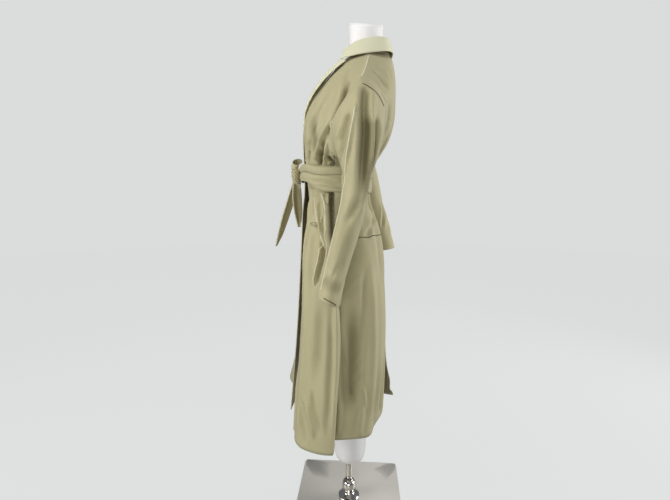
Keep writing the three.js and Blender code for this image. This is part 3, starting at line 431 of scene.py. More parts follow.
def press_folds(piece, folds, axis):
    """Presses soft troughs and raises ridges along lines, away from the upright axis of the piece, and
    stores the painted shade of the troughs, the shaded rows and the inner face.
    """
    mesh = piece.data
    count = len(mesh.vertices)
    flat = np.empty(count * 3)
    mesh.vertices.foreach_get("co", flat)
    points = flat.reshape(count, 3)
    centre = np.array([[axis(z)[0], axis(z)[1]] for z in points[:, 2]])
    outward = np.zeros((count, 3))
    outward[:, :2] = points[:, :2] - centre
    outward /= np.maximum(np.linalg.norm(outward, axis=1), 1e-6)[:, None]
    move = np.zeros(count)
    hollow = np.zeros(count)
    gloom = np.zeros(count)
    for fold in folds:
        distance, along = line_distance(points, fold.line, SQUASH[fold.faces])
        lead, tail = fold.fade
        fade = smooth_step(along / lead) * smooth_step((1 - along) / tail)
        width = FOLD_SPREAD * fold.width * MM
        trough = np.exp(-((distance / width) ** 2))
        rise = np.exp(-(((distance - RISE_AWAY * width) / width) ** 2))
        press = FOLD_GAIN * fold.depth * MM * fade * (trough - RISE * rise)
        move -= press
        hollow += press
        gloom += press * (fold.shade - 1)
    normals = np.empty(count * 3)
    mesh.vertices.foreach_get("normal", normals)
    inner = smooth_step(-2 * (normals.reshape(count, 3) * outward).sum(axis=1))
    open_air = smooth_step((-points[:, 1] - INNER_FACE_LIT_PAST) / INNER_FACE_LIT_FADE)
    tone = np.clip(hollow / DEEP_FOLD, -1, 1.2) + np.clip(gloom / DEEP_FOLD, 0, 1.7)
    # Painted shade on the inner face, except where it stands out into the light
    tone += INNER_FACE_PAINTED_SHADE * inner * (1 - open_air)
    points += outward * move[:, None]
    mesh.vertices.foreach_set("co", points.reshape(-1))
    store_values(mesh, "painted_fold_shade", tone)
    mesh.update()


def finish_piece(piece, nodes, material):
    piece.data.materials.clear()
    piece.data.materials.append(material)
    piece.data.set_sharp_from_angle(angle=SHARP_ANGLE)
    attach(piece, "root")
    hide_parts(*nodes)
    return piece


# Centre lines that folds are pressed towards, as (x, y) in metres at a height
def body_axis(z):
    return 0.0, -0.02 + 0.03 * max(0.0, min(1.0, (z - 1.0) / 0.3))


SLEEVE_HEIGHTS = [0.70, 0.78, 0.84, 0.89, 0.938, 1.0, 1.04, 1.08, 1.15, 1.25]
LEFT_SLEEVE_X = [0.257, 0.258, 0.259, 0.259, 0.258, 0.25, 0.235, 0.21, 0.16, 0.10]
LEFT_SLEEVE_Y = [-0.061, -0.046, -0.029, -0.015, -0.003, 0.004, 0.006, 0.007, 0.008, 0.01]
RIGHT_SLEEVE_X = [-0.264, -0.264, -0.264, -0.264, -0.263, -0.25, -0.235, -0.21, -0.16, -0.10]
RIGHT_SLEEVE_Y = [0.15, 0.137, 0.121, 0.106, 0.09, 0.072, 0.058, 0.04, 0.02, 0.013]


def sleeve_axis(side):
    across, deep = (LEFT_SLEEVE_X, LEFT_SLEEVE_Y) if side > 0 else (RIGHT_SLEEVE_X, RIGHT_SLEEVE_Y)
    return lambda z: (
        float(np.interp(z, SLEEVE_HEIGHTS, across)),
        float(np.interp(z, SLEEVE_HEIGHTS, deep)),
    )


# A fold presses the cloth in along a line, in millimetres, or raises it where its depth is below zero.
# It eases in and out over two shares of its length, and a shade above 1 paints extra shade over what lies
# in shadow.
Fold = namedtuple("Fold", "line depth width fade faces shade", defaults=("side", 1))
FOLDS = {}

FOLDS["belt_tail_long"] = [
    # Painted shade along the turned-away edge
    Fold([(-8, -158, 995), (-8, -168, 950), (-6, -187, 895),
          (-6, -203, 850)], 1, 8, (0.02, 0.1), shade=18),
]

FOLDS["belt_tail_short"] = [
    # Painted shade along the turned-away edge
    Fold([(30, -148, 990), (30, -146, 955), (29, -145, 920),
          (27, -144, 885)], 1, 7, (0.02, 0.05), shade=18),
]

FOLDS["front_left"] = [
    # Under the edge of the lapel
    Fold([(89, -19, 1311), (85, -37, 1297), (77, -58, 1280), (74, -83, 1252), (76, -104, 1226),
          (57, -121, 1207), (76, -126, 1179)], 1.5, 6, (0.03, 0.05), shade=12),
    # Under the collar
    Fold([(83, -15, 1318), (87, 0, 1324), (87, 18, 1330),
          (92, 36, 1331)], 1.2, 8, (0.03, 0.03), shade=13),
    # Under the belt
    Fold([(59, -135, 1004), (86, -111, 987), (123, -79, 974), (132, -50, 969),
          (134, -29, 965)], 1.5, 6, (0.02, 0.02), shade=8),
    # Over the belt
    Fold([(61, -129, 1046), (114, -90, 1045), (128, -56, 1039),
          (127, -32, 1030)], 1.5, 5, (0.02, 0.02), shade=6),
    # Mouth of the pocket
    Fold([(108, -114, 891), (145, -101, 886), (158, -85, 883)], 1, 4.5, (0.1, 0.1), shade=13),
    # Right edge of the fold
    Fold([(124, -78, 973), (142, -70, 949), (158, -65, 921), (172, -67, 886), (180, -66, 853),
          (186, -62, 823)], -5, 5, (0.1, 0.1)),
    # Left edge of the fold
    Fold([(105, -100, 979), (121, -98, 944), (147, -89, 903), (173, -79, 864),
          (186, -64, 826)], -4, 5, (0.1, 0.1)),
    # Between the edges
    Fold([(116, -89, 979), (142, -83, 936), (163, -78, 895), (178, -73, 860)], 4, 5, (0.1, 0.15)),
    # Underarm opening
    Fold([(156, -66, 1065), (150, -58, 1056), (145, -48, 1051),
          (128, -52, 1039)], 13, 7, (0.15, 0.1), shade=2.2),
    # Thin line above the belt
    Fold([(152, -84, 1102), (130, -85, 1076), (116, -86, 1043)], 5, 4.5, (0.5, 0.02)),
    # Thin line near the front
    Fold([(89, -120, 1113), (83, -120, 1082), (86, -115, 1046)], 3.5, 4.5, (0.5, 0.02)),
    # Second band
    Fold([(183, -70, 836), (186, -79, 795), (187, -89, 760), (187, -96, 731)], 4.5, 5.5, (0.1, 0.2)),
    # Dart ridge
    Fold([(178, -81, 835), (181, -88, 795), (183, -97, 759), (184, -103, 728)], -3, 4.5, (0.1, 0.2)),
    # Hollow under the lapel
    Fold([(109, -103, 1181), (127, -103, 1144), (130, -99, 1106),
          (121, -90, 1061)], 4, 13, (0.4, 0.1), shade=3.5),
    # Shoulder to belt trough
    Fold([(141, -8, 1258), (174, -22, 1194), (188, -43, 1134), (155, -78, 1087),
          (117, -87, 1046)], 14, 9, (0.2, 0.02), shade=1.7),
    # Ridge before it
    Fold([(136, -43, 1238), (164, -56, 1177), (170, -73, 1113), (107, -102, 1058)], -4.5, 9, (0.3, 0.1)),
    # Second drop
    Fold([(119, -81, 1209), (138, -96, 1142), (102, -113, 1098), (78, -120, 1051)], 4, 7, (0.4, 0.02)),
    # Underarm pull
    Fold([(190, -55, 1114), (183, -61, 1072), (127, -66, 1045)], 6, 7, (0.2, 0.05)),
    # Chest hollow
    Fold([(116, -7, 1294), (149, -20, 1244), (162, -38, 1206)], 3, 8, (0.3, 0.4)),
    # Lapel root
    Fold([(121, -50, 1248), (129, -81, 1196), (120, -108, 1148), (98, -117, 1112)], 3, 9, (0.3, 0.4)),
    # Below the belt, side
    Fold([(130, -54, 975), (154, -58, 921), (169, -57, 870),
          (173, -50, 824)], 18, 11, (0.06, 0.25), shade=1.5),
    # Fold lip
    Fold([(122, -94, 952), (155, -84, 895), (179, -73, 856), (187, -61, 818)], -6, 6, (0.15, 0.15)),
    # Under the lip
    Fold([(177, -78, 855), (186, -76, 810), (187, -86, 770), (187, -97, 726)], 4.5, 6, (0.15, 0.25)),
    # Front pleat
    Fold([(95, -106, 985), (104, -105, 942), (111, -110, 902)], 3, 5, (0.15, 0.2)),
    # Front pleat ridge
    Fold([(75, -115, 981), (87, -115, 920), (126, -123, 833), (146, -128, 741)], -3, 5, (0.15, 0.3)),
    # Pocket drop
    Fold([(148, -100, 879), (165, -110, 792), (174, -116, 694)], 4, 10, (0.2, 0.4)),
    # Front roll
    Fold([(149, -123, 782), (170, -125, 613), (183, -136, 454), (200, -141, 337)], -4, 9, (0.3, 0.1)),
    # Long hollow
    Fold([(196, -80, 710), (206, -87, 572), (211, -104, 455)], 5, 15, (0.3, 0.4)),
    # Hem kick ridge
    Fold([(192, -129, 453), (209, -117, 416), (230, -97, 342)], -7, 5.5, (0.2, 0.2)),
    # Hem kick trough
    Fold([(207, -107, 477), (220, -100, 419), (234, -80, 358)], 6, 7, (0.3, 0.2)),
    # Hem dip
    Fold([(191, -136, 420), (206, -131, 373), (220, -120, 322)], 4, 6, (0.3, 0.2)),
    # Rear edge roll
    Fold([(175, -46, 794), (205, -40, 676), (221, -42, 534), (235, -49, 388)], -4, 8, (0.3, 0.15)),
    # Rear hollow
    Fold([(203, -58, 701), (215, -55, 589), (230, -61, 452), (238, -65, 350)], 4, 9, (0.3, 0.2)),
    # Small wrinkle
    Fold([(203, -94, 566), (216, -73, 535)], 1.6, 4, (0.4, 0.4)),
    Fold([(186, -112, 602), (201, -96, 573)], 1.4, 4, (0.4, 0.4)),
    # Chest drape
    Fold([(97, -38, 1286), (64, -122, 1180), (42, -128, 1062)], 4.5, 10, (0.3, 0.03), faces="end"),
    # Chest ridge
    Fold([(66, -124, 1170), (50, -129, 1110), (38, -129, 1062)], -3, 8, (0.4, 0.03), faces="end"),
    # Waist pull
    Fold([(118, -92, 1190), (104, -115, 1110), (84, -117, 1060)], 4, 9, (0.4, 0.03), faces="end"),
    # Skirt fall
    Fold([(38, -120, 962), (56, -127, 820), (72, -132, 640)], 5, 12, (0.1, 0.4), faces="end"),
    # Skirt ridge
    Fold([(76, -114, 962), (92, -126, 850), (100, -135, 700)], -4, 10, (0.1, 0.4), faces="end"),
    # Outer fall
    Fold([(112, -104, 930), (128, -130, 780), (136, -139, 620)], 4, 12, (0.3, 0.4), faces="end"),
    # Low fall
    Fold([(92, -136, 600), (100, -144, 450), (106, -150, 320)], 6, 15, (0.4, 0.03), faces="end"),
    # Low ridge
    Fold([(136, -145, 520), (142, -152, 400), (146, -156, 320)], -5, 13, (0.4, 0.03), faces="end"),
]

FOLDS["front_right"] = [
    # Under the edge of the lapel
    Fold([(-89, -19, 1312), (-85, -37, 1298), (-77, -58, 1281), (-74, -83, 1253), (-76, -104, 1227),
          (-57, -121, 1208), (-76, -126, 1180)], 1.5, 6.5, (0.03, 0.05), shade=9.6),
    # Under the collar
    Fold([(-83, -15, 1321), (-87, 0, 1327), (-87, 18, 1333),
          (-92, 36, 1334)], 1.2, 6.5, (0.03, 0.03), shade=10.4),
    # Under the belt
    Fold([(-59, -135, 1005), (-86, -111, 988), (-123, -79, 975), (-132, -50, 970),
          (-134, -29, 966)], 1.5, 6.5, (0.02, 0.02), shade=6.4),
    # Over the belt
    Fold([(-61, -129, 1047), (-114, -90, 1046), (-128, -56, 1040),
          (-127, -32, 1031)], 1.5, 5.5, (0.02, 0.02), shade=4.8),
    # Mouth of the pocket
    Fold([(-108, -114, 892), (-145, -101, 887), (-158, -85, 884)], 1, 5, (0.1, 0.1), shade=10.4),
    # Right edge of the fold
    Fold([(-118, -85, 985), (-136, -77, 961), (-152, -72, 933), (-166, -74, 898), (-174, -73, 865),
          (-180, -69, 835)], -3.8, 5.6, (0.1, 0.1)),
    # Left edge of the fold
    Fold([(-99, -107, 991), (-115, -105, 956), (-141, -96, 915), (-167, -86, 876),
          (-180, -71, 838)], -3, 5.6, (0.1, 0.1)),
    # Underarm opening
    Fold([(-150, -73, 1077), (-144, -65, 1068), (-139, -55, 1063),
          (-122, -59, 1051)], 9.8, 7.6, (0.15, 0.1)),
    # Thin line above the belt
    Fold([(-146, -91, 1114), (-124, -92, 1088), (-110, -93, 1055)], 3.8, 5.1, (0.5, 0.02)),
    # Thin line near the front
    Fold([(-83, -127, 1125), (-77, -127, 1094), (-80, -122, 1058)], 2.6, 5.1, (0.5, 0.02)),
    # Second band
    Fold([(-177, -77, 848), (-180, -86, 807), (-181, -96, 772), (-181, -103, 743)], 5.2, 6.6, (0.1, 0.2)),
    # Dart ridge
    Fold([(-172, -88, 847), (-175, -95, 807), (-177, -104, 771),
          (-178, -110, 740)], -2.2, 5.1, (0.1, 0.2)),
    # Shoulder to belt trough
    Fold([(-126, -22, 1270), (-162, -37, 1206), (-176, -58, 1146), (-152, -84, 1099),
          (-110, -93, 1050)], 8.5, 8.7, (0.2, 0.02)),
    # Ridge before it
    Fold([(-105, -52, 1264), (-141, -65, 1203), (-156, -82, 1139),
          (-96, -111, 1066)], -3.4, 8.7, (0.3, 0.1)),
    # Second drop
    Fold([(-84, -87, 1235), (-119, -102, 1168), (-95, -119, 1124),
          (-63, -126, 1059)], 2.6, 7.6, (0.4, 0.02)),
    # Underarm pull
    Fold([(-189, -61, 1092), (-131, -67, 1050), (-121, -72, 1038)], 4.1, 7.5, (0.2, 0.05)),
    # Lapel root
    Fold([(-84, -59, 1274), (-93, -90, 1222), (-85, -117, 1174),
          (-77, -126, 1138)], 2.8, 10.3, (0.3, 0.4)),
    # Below the belt, side
    Fold([(-123, -63, 1001), (-134, -67, 947), (-151, -66, 896),
          (-160, -59, 850)], 11.5, 10.7, (0.06, 0.25)),
    # Fold lip
    Fold([(-112, -103, 938), (-142, -93, 881), (-159, -82, 842),
          (-171, -70, 804)], -4.9, 5.9, (0.15, 0.15)),
    # Under the lip
    Fold([(-149, -84, 875), (-163, -82, 830), (-162, -92, 790),
          (-165, -103, 746)], 6.5, 7.8, (0.15, 0.25)),
    # Front pleat ridge
    Fold([(-70, -121, 1007), (-82, -121, 946), (-92, -129, 859),
          (-108, -134, 767)], -2, 5.6, (0.15, 0.3)),
    # Pocket drop
    Fold([(-145, -95, 865), (-158, -105, 778), (-176, -111, 680)], 2.7, 11.6, (0.2, 0.4)),
    # Front roll
    Fold([(-100, -132, 808), (-167, -134, 639), (-208, -145, 480),
          (-233, -150, 363)], -3.3, 9.9, (0.3, 0.1)),
    # Long hollow
    Fold([(-181, -72, 736), (-200, -79, 598), (-219, -96, 481)], 4.4, 16.3, (0.3, 0.4)),
    # Hem kick trough
    Fold([(-218, -102, 497), (-224, -95, 439), (-219, -75, 378)], 4.4, 8.3, (0.3, 0.2)),
    # Hem dip
    Fold([(-226, -145, 406), (-235, -140, 359), (-242, -129, 318)], 3.3, 6.6, (0.3, 0.2)),
    # Rear edge roll
    Fold([(-162, -38, 806), (-173, -32, 688), (-184, -34, 546), (-198, -41, 400)], -2.9, 10, (0.3, 0.15)),
    # Rear hollow
    Fold([(-179, -50, 679), (-186, -47, 567), (-201, -53, 430), (-213, -57, 328)], 2.8, 9.5, (0.3, 0.2)),
    # Small wrinkle
    Fold([(-194, -104, 622), (-203, -88, 593)], 0.9, 4.6, (0.4, 0.4)),
    # Chest drape
    Fold([(-89, -27, 1304), (-70, -112, 1198), (-48, -131, 1062)], 5, 10, (0.3, 0.03), faces="end"),
    # Waist pull
    Fold([(-124, -97, 1174), (-110, -113, 1128), (-79, -119, 1060)], 4.1, 9, (0.4, 0.03), faces="end"),
    # Skirt fall
    Fold([(-33, -134, 962), (-51, -141, 832), (-67, -152, 624)], 4.9, 12, (0.1, 0.4), faces="end"),
    # Skirt ridge
    Fold([(-82, -117, 962), (-84, -135, 834), (-106, -141, 712)], -3.6, 10, (0.1, 0.4), faces="end"),
    # Outer fall
    Fold([(-118, -96, 942), (-134, -121, 792), (-128, -151, 604)], 3.3, 12, (0.3, 0.4), faces="end"),
    # Low fall
    Fold([(-101, -153, 584), (-106, -167, 434), (-115, -179, 320)], 6.1, 15, (0.4, 0.03), faces="end"),
    # Low ridge
    Fold([(-128, -161, 532), (-148, -180, 418), (-138, -187, 320)], -5.5, 13, (0.4, 0.03), faces="end"),
]

FOLDS["back_left"] = [
    # Under the collar
    Fold([(94, 41, 1332), (78, 64, 1338), (61, 87, 1344), (44, 103, 1347),
          (20, 112, 1349)], 1.2, 8, (0.03, 0.03), shade=13),
    # Yoke drag
    Fold([(148, 44, 1277), (165, 65, 1250), (178, 84, 1209)], 3.5, 7, (0.3, 0.3)),
    Fold([(118, 65, 1303), (137, 83, 1272), (159, 91, 1236)], -2.5, 6, (0.3, 0.3)),
    # Blade fold
    Fold([(179, 85, 1197), (152, 88, 1151), (128, 79, 1106)], 4, 8, (0.3, 0.3)),
    # Waist fold
    Fold([(47, 58, 993), (64, 50, 954), (84, 57, 915)], 8, 7, (0.1, 0.4)),
    Fold([(70, 70, 915), (111, 55, 883), (142, 31, 847)], 4, 7, (0.3, 0.3)),
    # Long shadow
    Fold([(160, 2, 702), (164, 5, 584), (169, 0, 461), (173, -7, 365)], 10, 24, (0.35, 0.25), shade=1.6),
    # Rear roll
    Fold([(133, 51, 820), (141, 59, 686), (142, 62, 548), (143, 58, 406),
          (156, 51, 326)], -5, 10, (0.3, 0.15)),
    # Rear hollow
    Fold([(147, 36, 790), (157, 32, 658), (162, 30, 528)], 4, 9, (0.3, 0.4)),
    # Press line
    Fold([(164, -22, 627), (161, 15, 635), (149, 50, 642)], 1.4, 3.5, (0.2, 0.3)),
    # Diagonal rise
    Fold([(153, 27, 755), (159, 5, 723), (162, -22, 689)], -3, 7, (0.35, 0.35)),
    # Crumples
    Fold([(160, 32, 549), (164, 19, 529), (166, 8, 505)], -2.6, 4.5, (0.35, 0.35)),
    Fold([(159, 41, 515), (163, 22, 490), (169, -2, 464)], -3, 5, (0.35, 0.35)),
    Fold([(162, 25, 461), (160, 33, 429), (160, 39, 392)], -3, 5, (0.35, 0.35)),
    Fold([(169, -2, 459), (170, 3, 428), (169, 14, 394)], 3, 5, (0.35, 0.35)),
    Fold([(167, -24, 541), (168, -11, 497)], 2, 5, (0.35, 0.35)),
    Fold([(165, 14, 496), (162, 25, 464)], 2.2, 4.5, (0.35, 0.35)),
    # Hem swing
    Fold([(172, -29, 432), (175, -33, 366), (176, -34, 321)], -5, 9, (0.3, 0.1)),
    # Hem swing rear
    Fold([(162, 33, 404), (168, 25, 356), (171, 20, 318)], -4, 8, (0.3, 0.1)),
    # Side hollow
    Fold([(165, -28, 611), (169, -25, 503), (173, -21, 393)], 5, 9, (0.35, 0.3)),
    # Blade drape
    Fold([(34, 119, 1318), (42, 118, 1190), (36, 70, 1062)], 3.5, 12, (0.4, 0.05), faces="end"),
    # Waist drape
    Fold([(94, 116, 1250), (74, 105, 1130), (54, 63, 1058)], 5, 11, (0.4, 0.03), faces="end"),
    # Side drape
    Fold([(116, 102, 1150), (100, 84, 1095), (88, 52, 1056)], 4, 8, (0.4, 0.03), faces="end"),
    # Skirt flow
    Fold([(28, 54, 956), (38, 89, 840), (44, 101, 700)], 4.5, 10, (0.1, 0.4), faces="end"),
    # Skirt ridge
    Fold([(62, 50, 956), (76, 83, 840), (84, 95, 680)], -4, 10, (0.1, 0.4), faces="end"),
    # Hip flow
    Fold([(92, 47, 930), (104, 75, 820), (108, 85, 700)], 4, 10, (0.3, 0.4), faces="end"),
    # Low flow
    Fold([(62, 103, 560), (64, 98, 430), (66, 89, 322)], 6, 15, (0.4, 0.03), faces="end"),
    # Low ridge
    Fold([(100, 91, 540), (104, 82, 420), (108, 68, 322)], -4, 12, (0.4, 0.03), faces="end"),
]

FOLDS["back_right"] = [
    # Under the collar
    Fold([(-94, 41, 1334), (-78, 64, 1340), (-61, 87, 1346), (-44, 103, 1348),
          (-20, 112, 1350)], 1.2, 6.5, (0.03, 0.03), shade=10.4),
    # Yoke drag
    Fold([(-124, 49, 1303), (-140, 70, 1276), (-161, 89, 1235)], 2.6, 7.4, (0.3, 0.3)),
    Fold([(-93, 73, 1323), (-114, 91, 1292), (-135, 99, 1256)], -1.7, 5.9, (0.3, 0.3)),
    # Blade fold
    Fold([(-166, 93, 1209), (-143, 96, 1163), (-125, 87, 1118)], 3.4, 7.8, (0.3, 0.3)),
    # Waist fold
    Fold([(-62, 66, 1005), (-49, 58, 966), (-28, 65, 927)], 5.9, 7.5, (0.1, 0.4)),
    # Long shadow
    Fold([(-168, -7, 714), (-175, -4, 596), (-184, -9, 473), (-195, -16, 377)], 9.3, 25.4, (0.35, 0.25)),
    # Rear roll
    Fold([(-133, 42, 846), (-147, 50, 712), (-149, 53, 574), (-159, 49, 432),
          (-175, 42, 352)], -4, 10.2, (0.3, 0.15)),
    # Rear hollow
    Fold([(-151, 30, 802), (-163, 26, 670), (-169, 24, 540)], 3.5, 9.6, (0.3, 0.4)),
    # Press line
    Fold([(-174, -31, 647), (-170, 6, 655), (-157, 41, 662)], 1, 3.7, (0.2, 0.3)),
    # Crumples
    Fold([(-168, 26, 561), (-174, 13, 541), (-179, 2, 517)], -2.3, 5.4, (0.35, 0.35)),
    Fold([(-154, 49, 527), (-168, 30, 502), (-181, 6, 476)], -2.8, 5.8, (0.35, 0.35)),
    Fold([(-175, 19, 481), (-173, 27, 449), (-173, 33, 412)], -2.1, 5, (0.35, 0.35)),
    Fold([(-186, -8, 445), (-189, -3, 414), (-189, 8, 380)], 2, 6, (0.35, 0.35)),
    Fold([(-174, 19, 482), (-171, 30, 450)], 1.6, 4.5, (0.35, 0.35)),
    # Hem swing
    Fold([(-188, -24, 458), (-195, -28, 392), (-201, -29, 347)], -4.2, 9.4, (0.3, 0.1)),
    # Hem swing rear
    Fold([(-179, 24, 390), (-191, 16, 342), (-196, 11, 318)], -3.1, 9.7, (0.3, 0.1)),
    # Side hollow
    Fold([(-174, -20, 637), (-181, -17, 529), (-190, -13, 419)], 3.8, 9.6, (0.35, 0.3)),
    # Blade drape
    Fold([(-26, 117, 1330), (-37, 118, 1202), (-31, 70, 1062)], 3.3, 12, (0.4, 0.05), faces="end"),
    # Side drape
    Fold([(-122, 95, 1134), (-109, 88, 1107), (-97, 48, 1056)], 4.2, 8, (0.4, 0.03), faces="end"),
    # Skirt flow
    Fold([(-20, 54, 956), (-33, 92, 824), (-39, 102, 684)], 3.8, 10, (0.1, 0.4), faces="end"),
    # Skirt ridge
    Fold([(-71, 47, 956), (-71, 80, 858), (-93, 91, 698)], -4.5, 10, (0.1, 0.4), faces="end"),
    # Hip flow
    Fold([(-87, 43, 948), (-99, 80, 804), (-100, 87, 718)], 4.1, 10, (0.3, 0.4), faces="end"),
    # Low flow
    Fold([(-57, 103, 572), (-59, 108, 414), (-58, 138, 322)], 5.3, 15, (0.4, 0.03), faces="end"),
    # Low ridge
    Fold([(-106, 89, 558), (-99, 92, 438), (-114, 92, 322)], -3.6, 12, (0.4, 0.03), faces="end"),
]

FOLDS["sleeve_left"] = [
    # Shade of the cuff
    Fold([(290, -75, 770), (296, -50, 755), (290, -30, 745)], 1.5, 18, (0.1, 0.1), shade=6),
    # Rear shade
    Fold([(272, 32, 1145), (290, 36, 1077), (294, 35, 1023), (291, 25, 959),
          (291, 15, 915)], 3, 20, (0.25, 0.4), shade=11),
    # Top trough
    Fold([(240, 24, 1210), (277, 20, 1144), (295, 19, 1087), (304, 15, 1022),
          (304, 10, 956)], 13, 11, (0.12, 0.35)),
    # Rear ridge
    Fold([(252, 33, 1189), (279, 36, 1118), (297, 33, 1044), (298, 22, 970),
          (287, 6, 877)], -6, 8, (0.25, 0.35)),
    # Rear trough
    Fold([(262, 48, 1143), (270, 49, 1092), (283, 41, 1036), (289, 33, 996)], 9, 8, (0.25, 0.3)),
    # Front seam rise
    Fold([(269, -1, 1160), (287, -9, 1112), (294, -14, 1072), (288, -22, 1018),
          (273, -32, 971)], -4, 4.5, (0.05, 0.4)),
    # Front hollow
    Fold([(272, -11, 1147), (280, -21, 1109), (281, -30, 1066), (246, -36, 1022)], 8, 9, (0.15, 0.35)),
    # Under front hollow
    Fold([(265, -31, 1125), (263, -40, 1091), (199, -44, 1065)], -3.5, 7, (0.3, 0.3)),
    # Underarm tuck
    Fold([(253, -41, 1044), (248, -31, 1017), (279, -26, 984)], 6, 7, (0.2, 0.4)),
    # Elbow drag
    Fold([(303, 11, 956), (306, -8, 913), (304, -23, 891)], 3, 9, (0.4, 0.4)),
    Fold([(304, -8, 974), (299, -19, 937), (284, -42, 891)], -2.5, 9, (0.4, 0.4)),
    # Long roll
    Fold([(292, -25, 937), (295, -41, 869), (291, -63, 787)], -3.5, 10, (0.3, 0.3)),
    # Long dip
    Fold([(304, -4, 900), (302, -21, 834), (300, -43, 762)], 3.5, 9, (0.4, 0.3)),
    # Cuff crumple
    Fold([(285, -61, 809), (300, -50, 780)], 1.8, 5, (0.4, 0.4)),
    Fold([(303, -36, 812), (300, -54, 766)], 1.6, 5, (0.4, 0.4)),
]

FOLDS["sleeve_right"] = [
    # Inner fold
    Fold([(-248, 125, 968), (-235, 132, 914), (-220, 122, 854)], 6, 7, (0.3, 0.3)),
    # Outer roll
    Fold([(-238, 138, 975), (-251, 152, 889), (-236, 159, 816)], -3, 8, (0.3, 0.3)),
    # Top trough
    Fold([(-215, 37, 1230), (-270, 33, 1164), (-292, 48, 1107), (-305, 74, 1042),
          (-308, 96, 976)], 8.7, 10.7, (0.12, 0.35)),
    # Rear ridge
    Fold([(-261, 46, 1175), (-289, 66, 1104), (-301, 97, 1030), (-299, 116, 956),
          (-287, 151, 863)], -4.2, 8.4, (0.25, 0.35)),
    # Rear trough
    Fold([(-286, 54, 1121), (-297, 78, 1070), (-304, 94, 1014), (-305, 102, 974)], 5.9, 8, (0.25, 0.3)),
    # Front seam rise
    Fold([(-275, 11, 1138), (-293, 25, 1090), (-302, 38, 1050), (-304, 53, 996),
          (-302, 62, 949)], -3.3, 4.4, (0.05, 0.4)),
    # Under front hollow
    Fold([(-272, -4, 1111), (-276, 2, 1077), (-279, 11, 1051)], -2.4, 7.2, (0.3, 0.3)),
    # Underarm tuck
    Fold([(-278, 8, 1056), (-295, 30, 1029), (-302, 49, 996)], 4.8, 6.9, (0.2, 0.4)),
    # Elbow drag
    Fold([(-307, 97, 976), (-310, 96, 933), (-310, 94, 911)], 2.4, 9.4, (0.4, 0.4)),
    Fold([(-308, 67, 960), (-305, 74, 923), (-295, 78, 877)], -2.2, 10.5, (0.4, 0.4)),
    # Long dip
    Fold([(-310, 94, 920), (-308, 115, 854), (-305, 133, 782)], 2.8, 9.1, (0.4, 0.3)),
    # Cuff crumple
    Fold([(-298, 97, 835), (-306, 124, 806)], 1.2, 5.6, (0.4, 0.4)),
]

FOLDS["belt_lower"] = [
    # Wrap lines
    Fold([(107, -128, 1015), (118, -101, 1003), (137, -66, 999), (138, -30, 990)], 3, 4.5, (0.2, 0.1)),
    Fold([(117, -98, 1015), (137, -63, 1010), (138, -24, 1001)], -2, 4, (0.3, 0.1)),
    Fold([(125, -90, 989), (137, -58, 985), (135, -29, 978)], 2.2, 3.5, (0.3, 0.1)),
]

# Seams and topstitching on the near side, in millimetres; the far side has them slightly shifted. A dark
# line is painted shadow in a seam groove or under the cuff; a pale line is thread drawn paler as a painted
# highlight, and along the fold's edges it is only a painted highlight.
Seam = namedtuple("Seam", "piece tone line")
SEAM_LINES = [
    # Front seam of the sleeve
    Seam("near_sleeve", "pale", [(273, 0, 1153), (287, -9, 1109), (295, -17, 1055), (286, -22, 1003),
                                 (273, -28, 971), (269, -36, 929), (278, -50, 865), (278, -66, 804),
                                 (280, -79, 748)]),
    # Head of the sleeve behind
    Seam("near_sleeve", "dark", [(234, 16, 1218), (239, 30, 1210), (237, 44, 1201), (234, 56, 1190),
                                 (231, 64, 1177), (224, 70, 1166)]),
    # Painted shadow in the cuff opening
    Seam("near_sleeve", "dark", [(296, -72, 730), (301, -56, 722), (289, -41, 710)]),
    # Armhole topstitching behind
    Seam("near_back", "pale", [(188, 24, 1242), (191, 41, 1233), (191, 58, 1221), (190, 71, 1206),
                               (184, 81, 1190)]),
    # Seam of the back flap
    Seam("near_back", "dark", [(147, 14, 856), (134, 37, 857), (114, 60, 859), (75, 79, 859)]),
    # Armhole topstitching in front
    Seam("near_front", "pale", [(188, 3, 1182), (189, -28, 1162), (191, -49, 1130), (190, -55, 1109),
                                (177, -58, 1066)]),
    # Armhole seam in front
    Seam("near_front", "dark", [(191, 1, 1170), (191, -23, 1157), (191, -45, 1127), (189, -51, 1107),
                                (187, -54, 1067)]),
    # Shoulder topstitching
    Seam("near_front", "pale", [(103, 39, 1326), (136, 34, 1294), (168, 26, 1261), (192, 18, 1236)]),
    # Painted highlight along the pressed edge of the fold
    Seam("near_front", "pale", [(111, -99, 960), (144, -89, 911), (177, -77, 858), (187, -63, 818)]),
    # Painted highlight along the rear pressed edge of the fold
    Seam("near_front", "pale", [(124, -78, 973), (142, -70, 949), (158, -65, 921), (172, -67, 886),
                                (180, -66, 853), (186, -62, 823)]),
    # Stitches down the dart
    Seam("near_front", "pale", [(179, -78, 843), (181, -82, 820), (184, -88, 780), (186, -99, 726)]),
]
SEAM_RADIUS = {"pale": 0.0012, "dark": 0.0013}
SEAM_STEP = 0.006
SEAM_START = 0.012


def even_points(line):
    """Points a few millimetres apart along a bent line."""
    line = np.array(line, dtype=float) * MM
    lengths = np.concatenate([[0], np.cumsum(np.linalg.norm(np.diff(line, axis=0), axis=1))])
    spots = np.linspace(0, lengths[-1], max(3, int(lengths[-1] / SEAM_STEP)))
    return [Vector([np.interp(spot, lengths, line[:, axis]) for axis in range(3)]) for spot in spots]


def lay_seam(lines, tree, line, axis):
    """Adds one line that follows the cloth to the curve of seams."""
    path = []
    for point in even_points(line):
        out = Vector((point.x - axis(point.z)[0], point.y - axis(point.z)[1], 0)).normalized()
        path.append(tree.find_nearest(point + SEAM_START * out)[0])
    spline = lines.splines.new("POLY")
    spline.points.add(len(path) - 1)
    for knot, place in zip(spline.points, path):
        knot.co = (*place, 1)


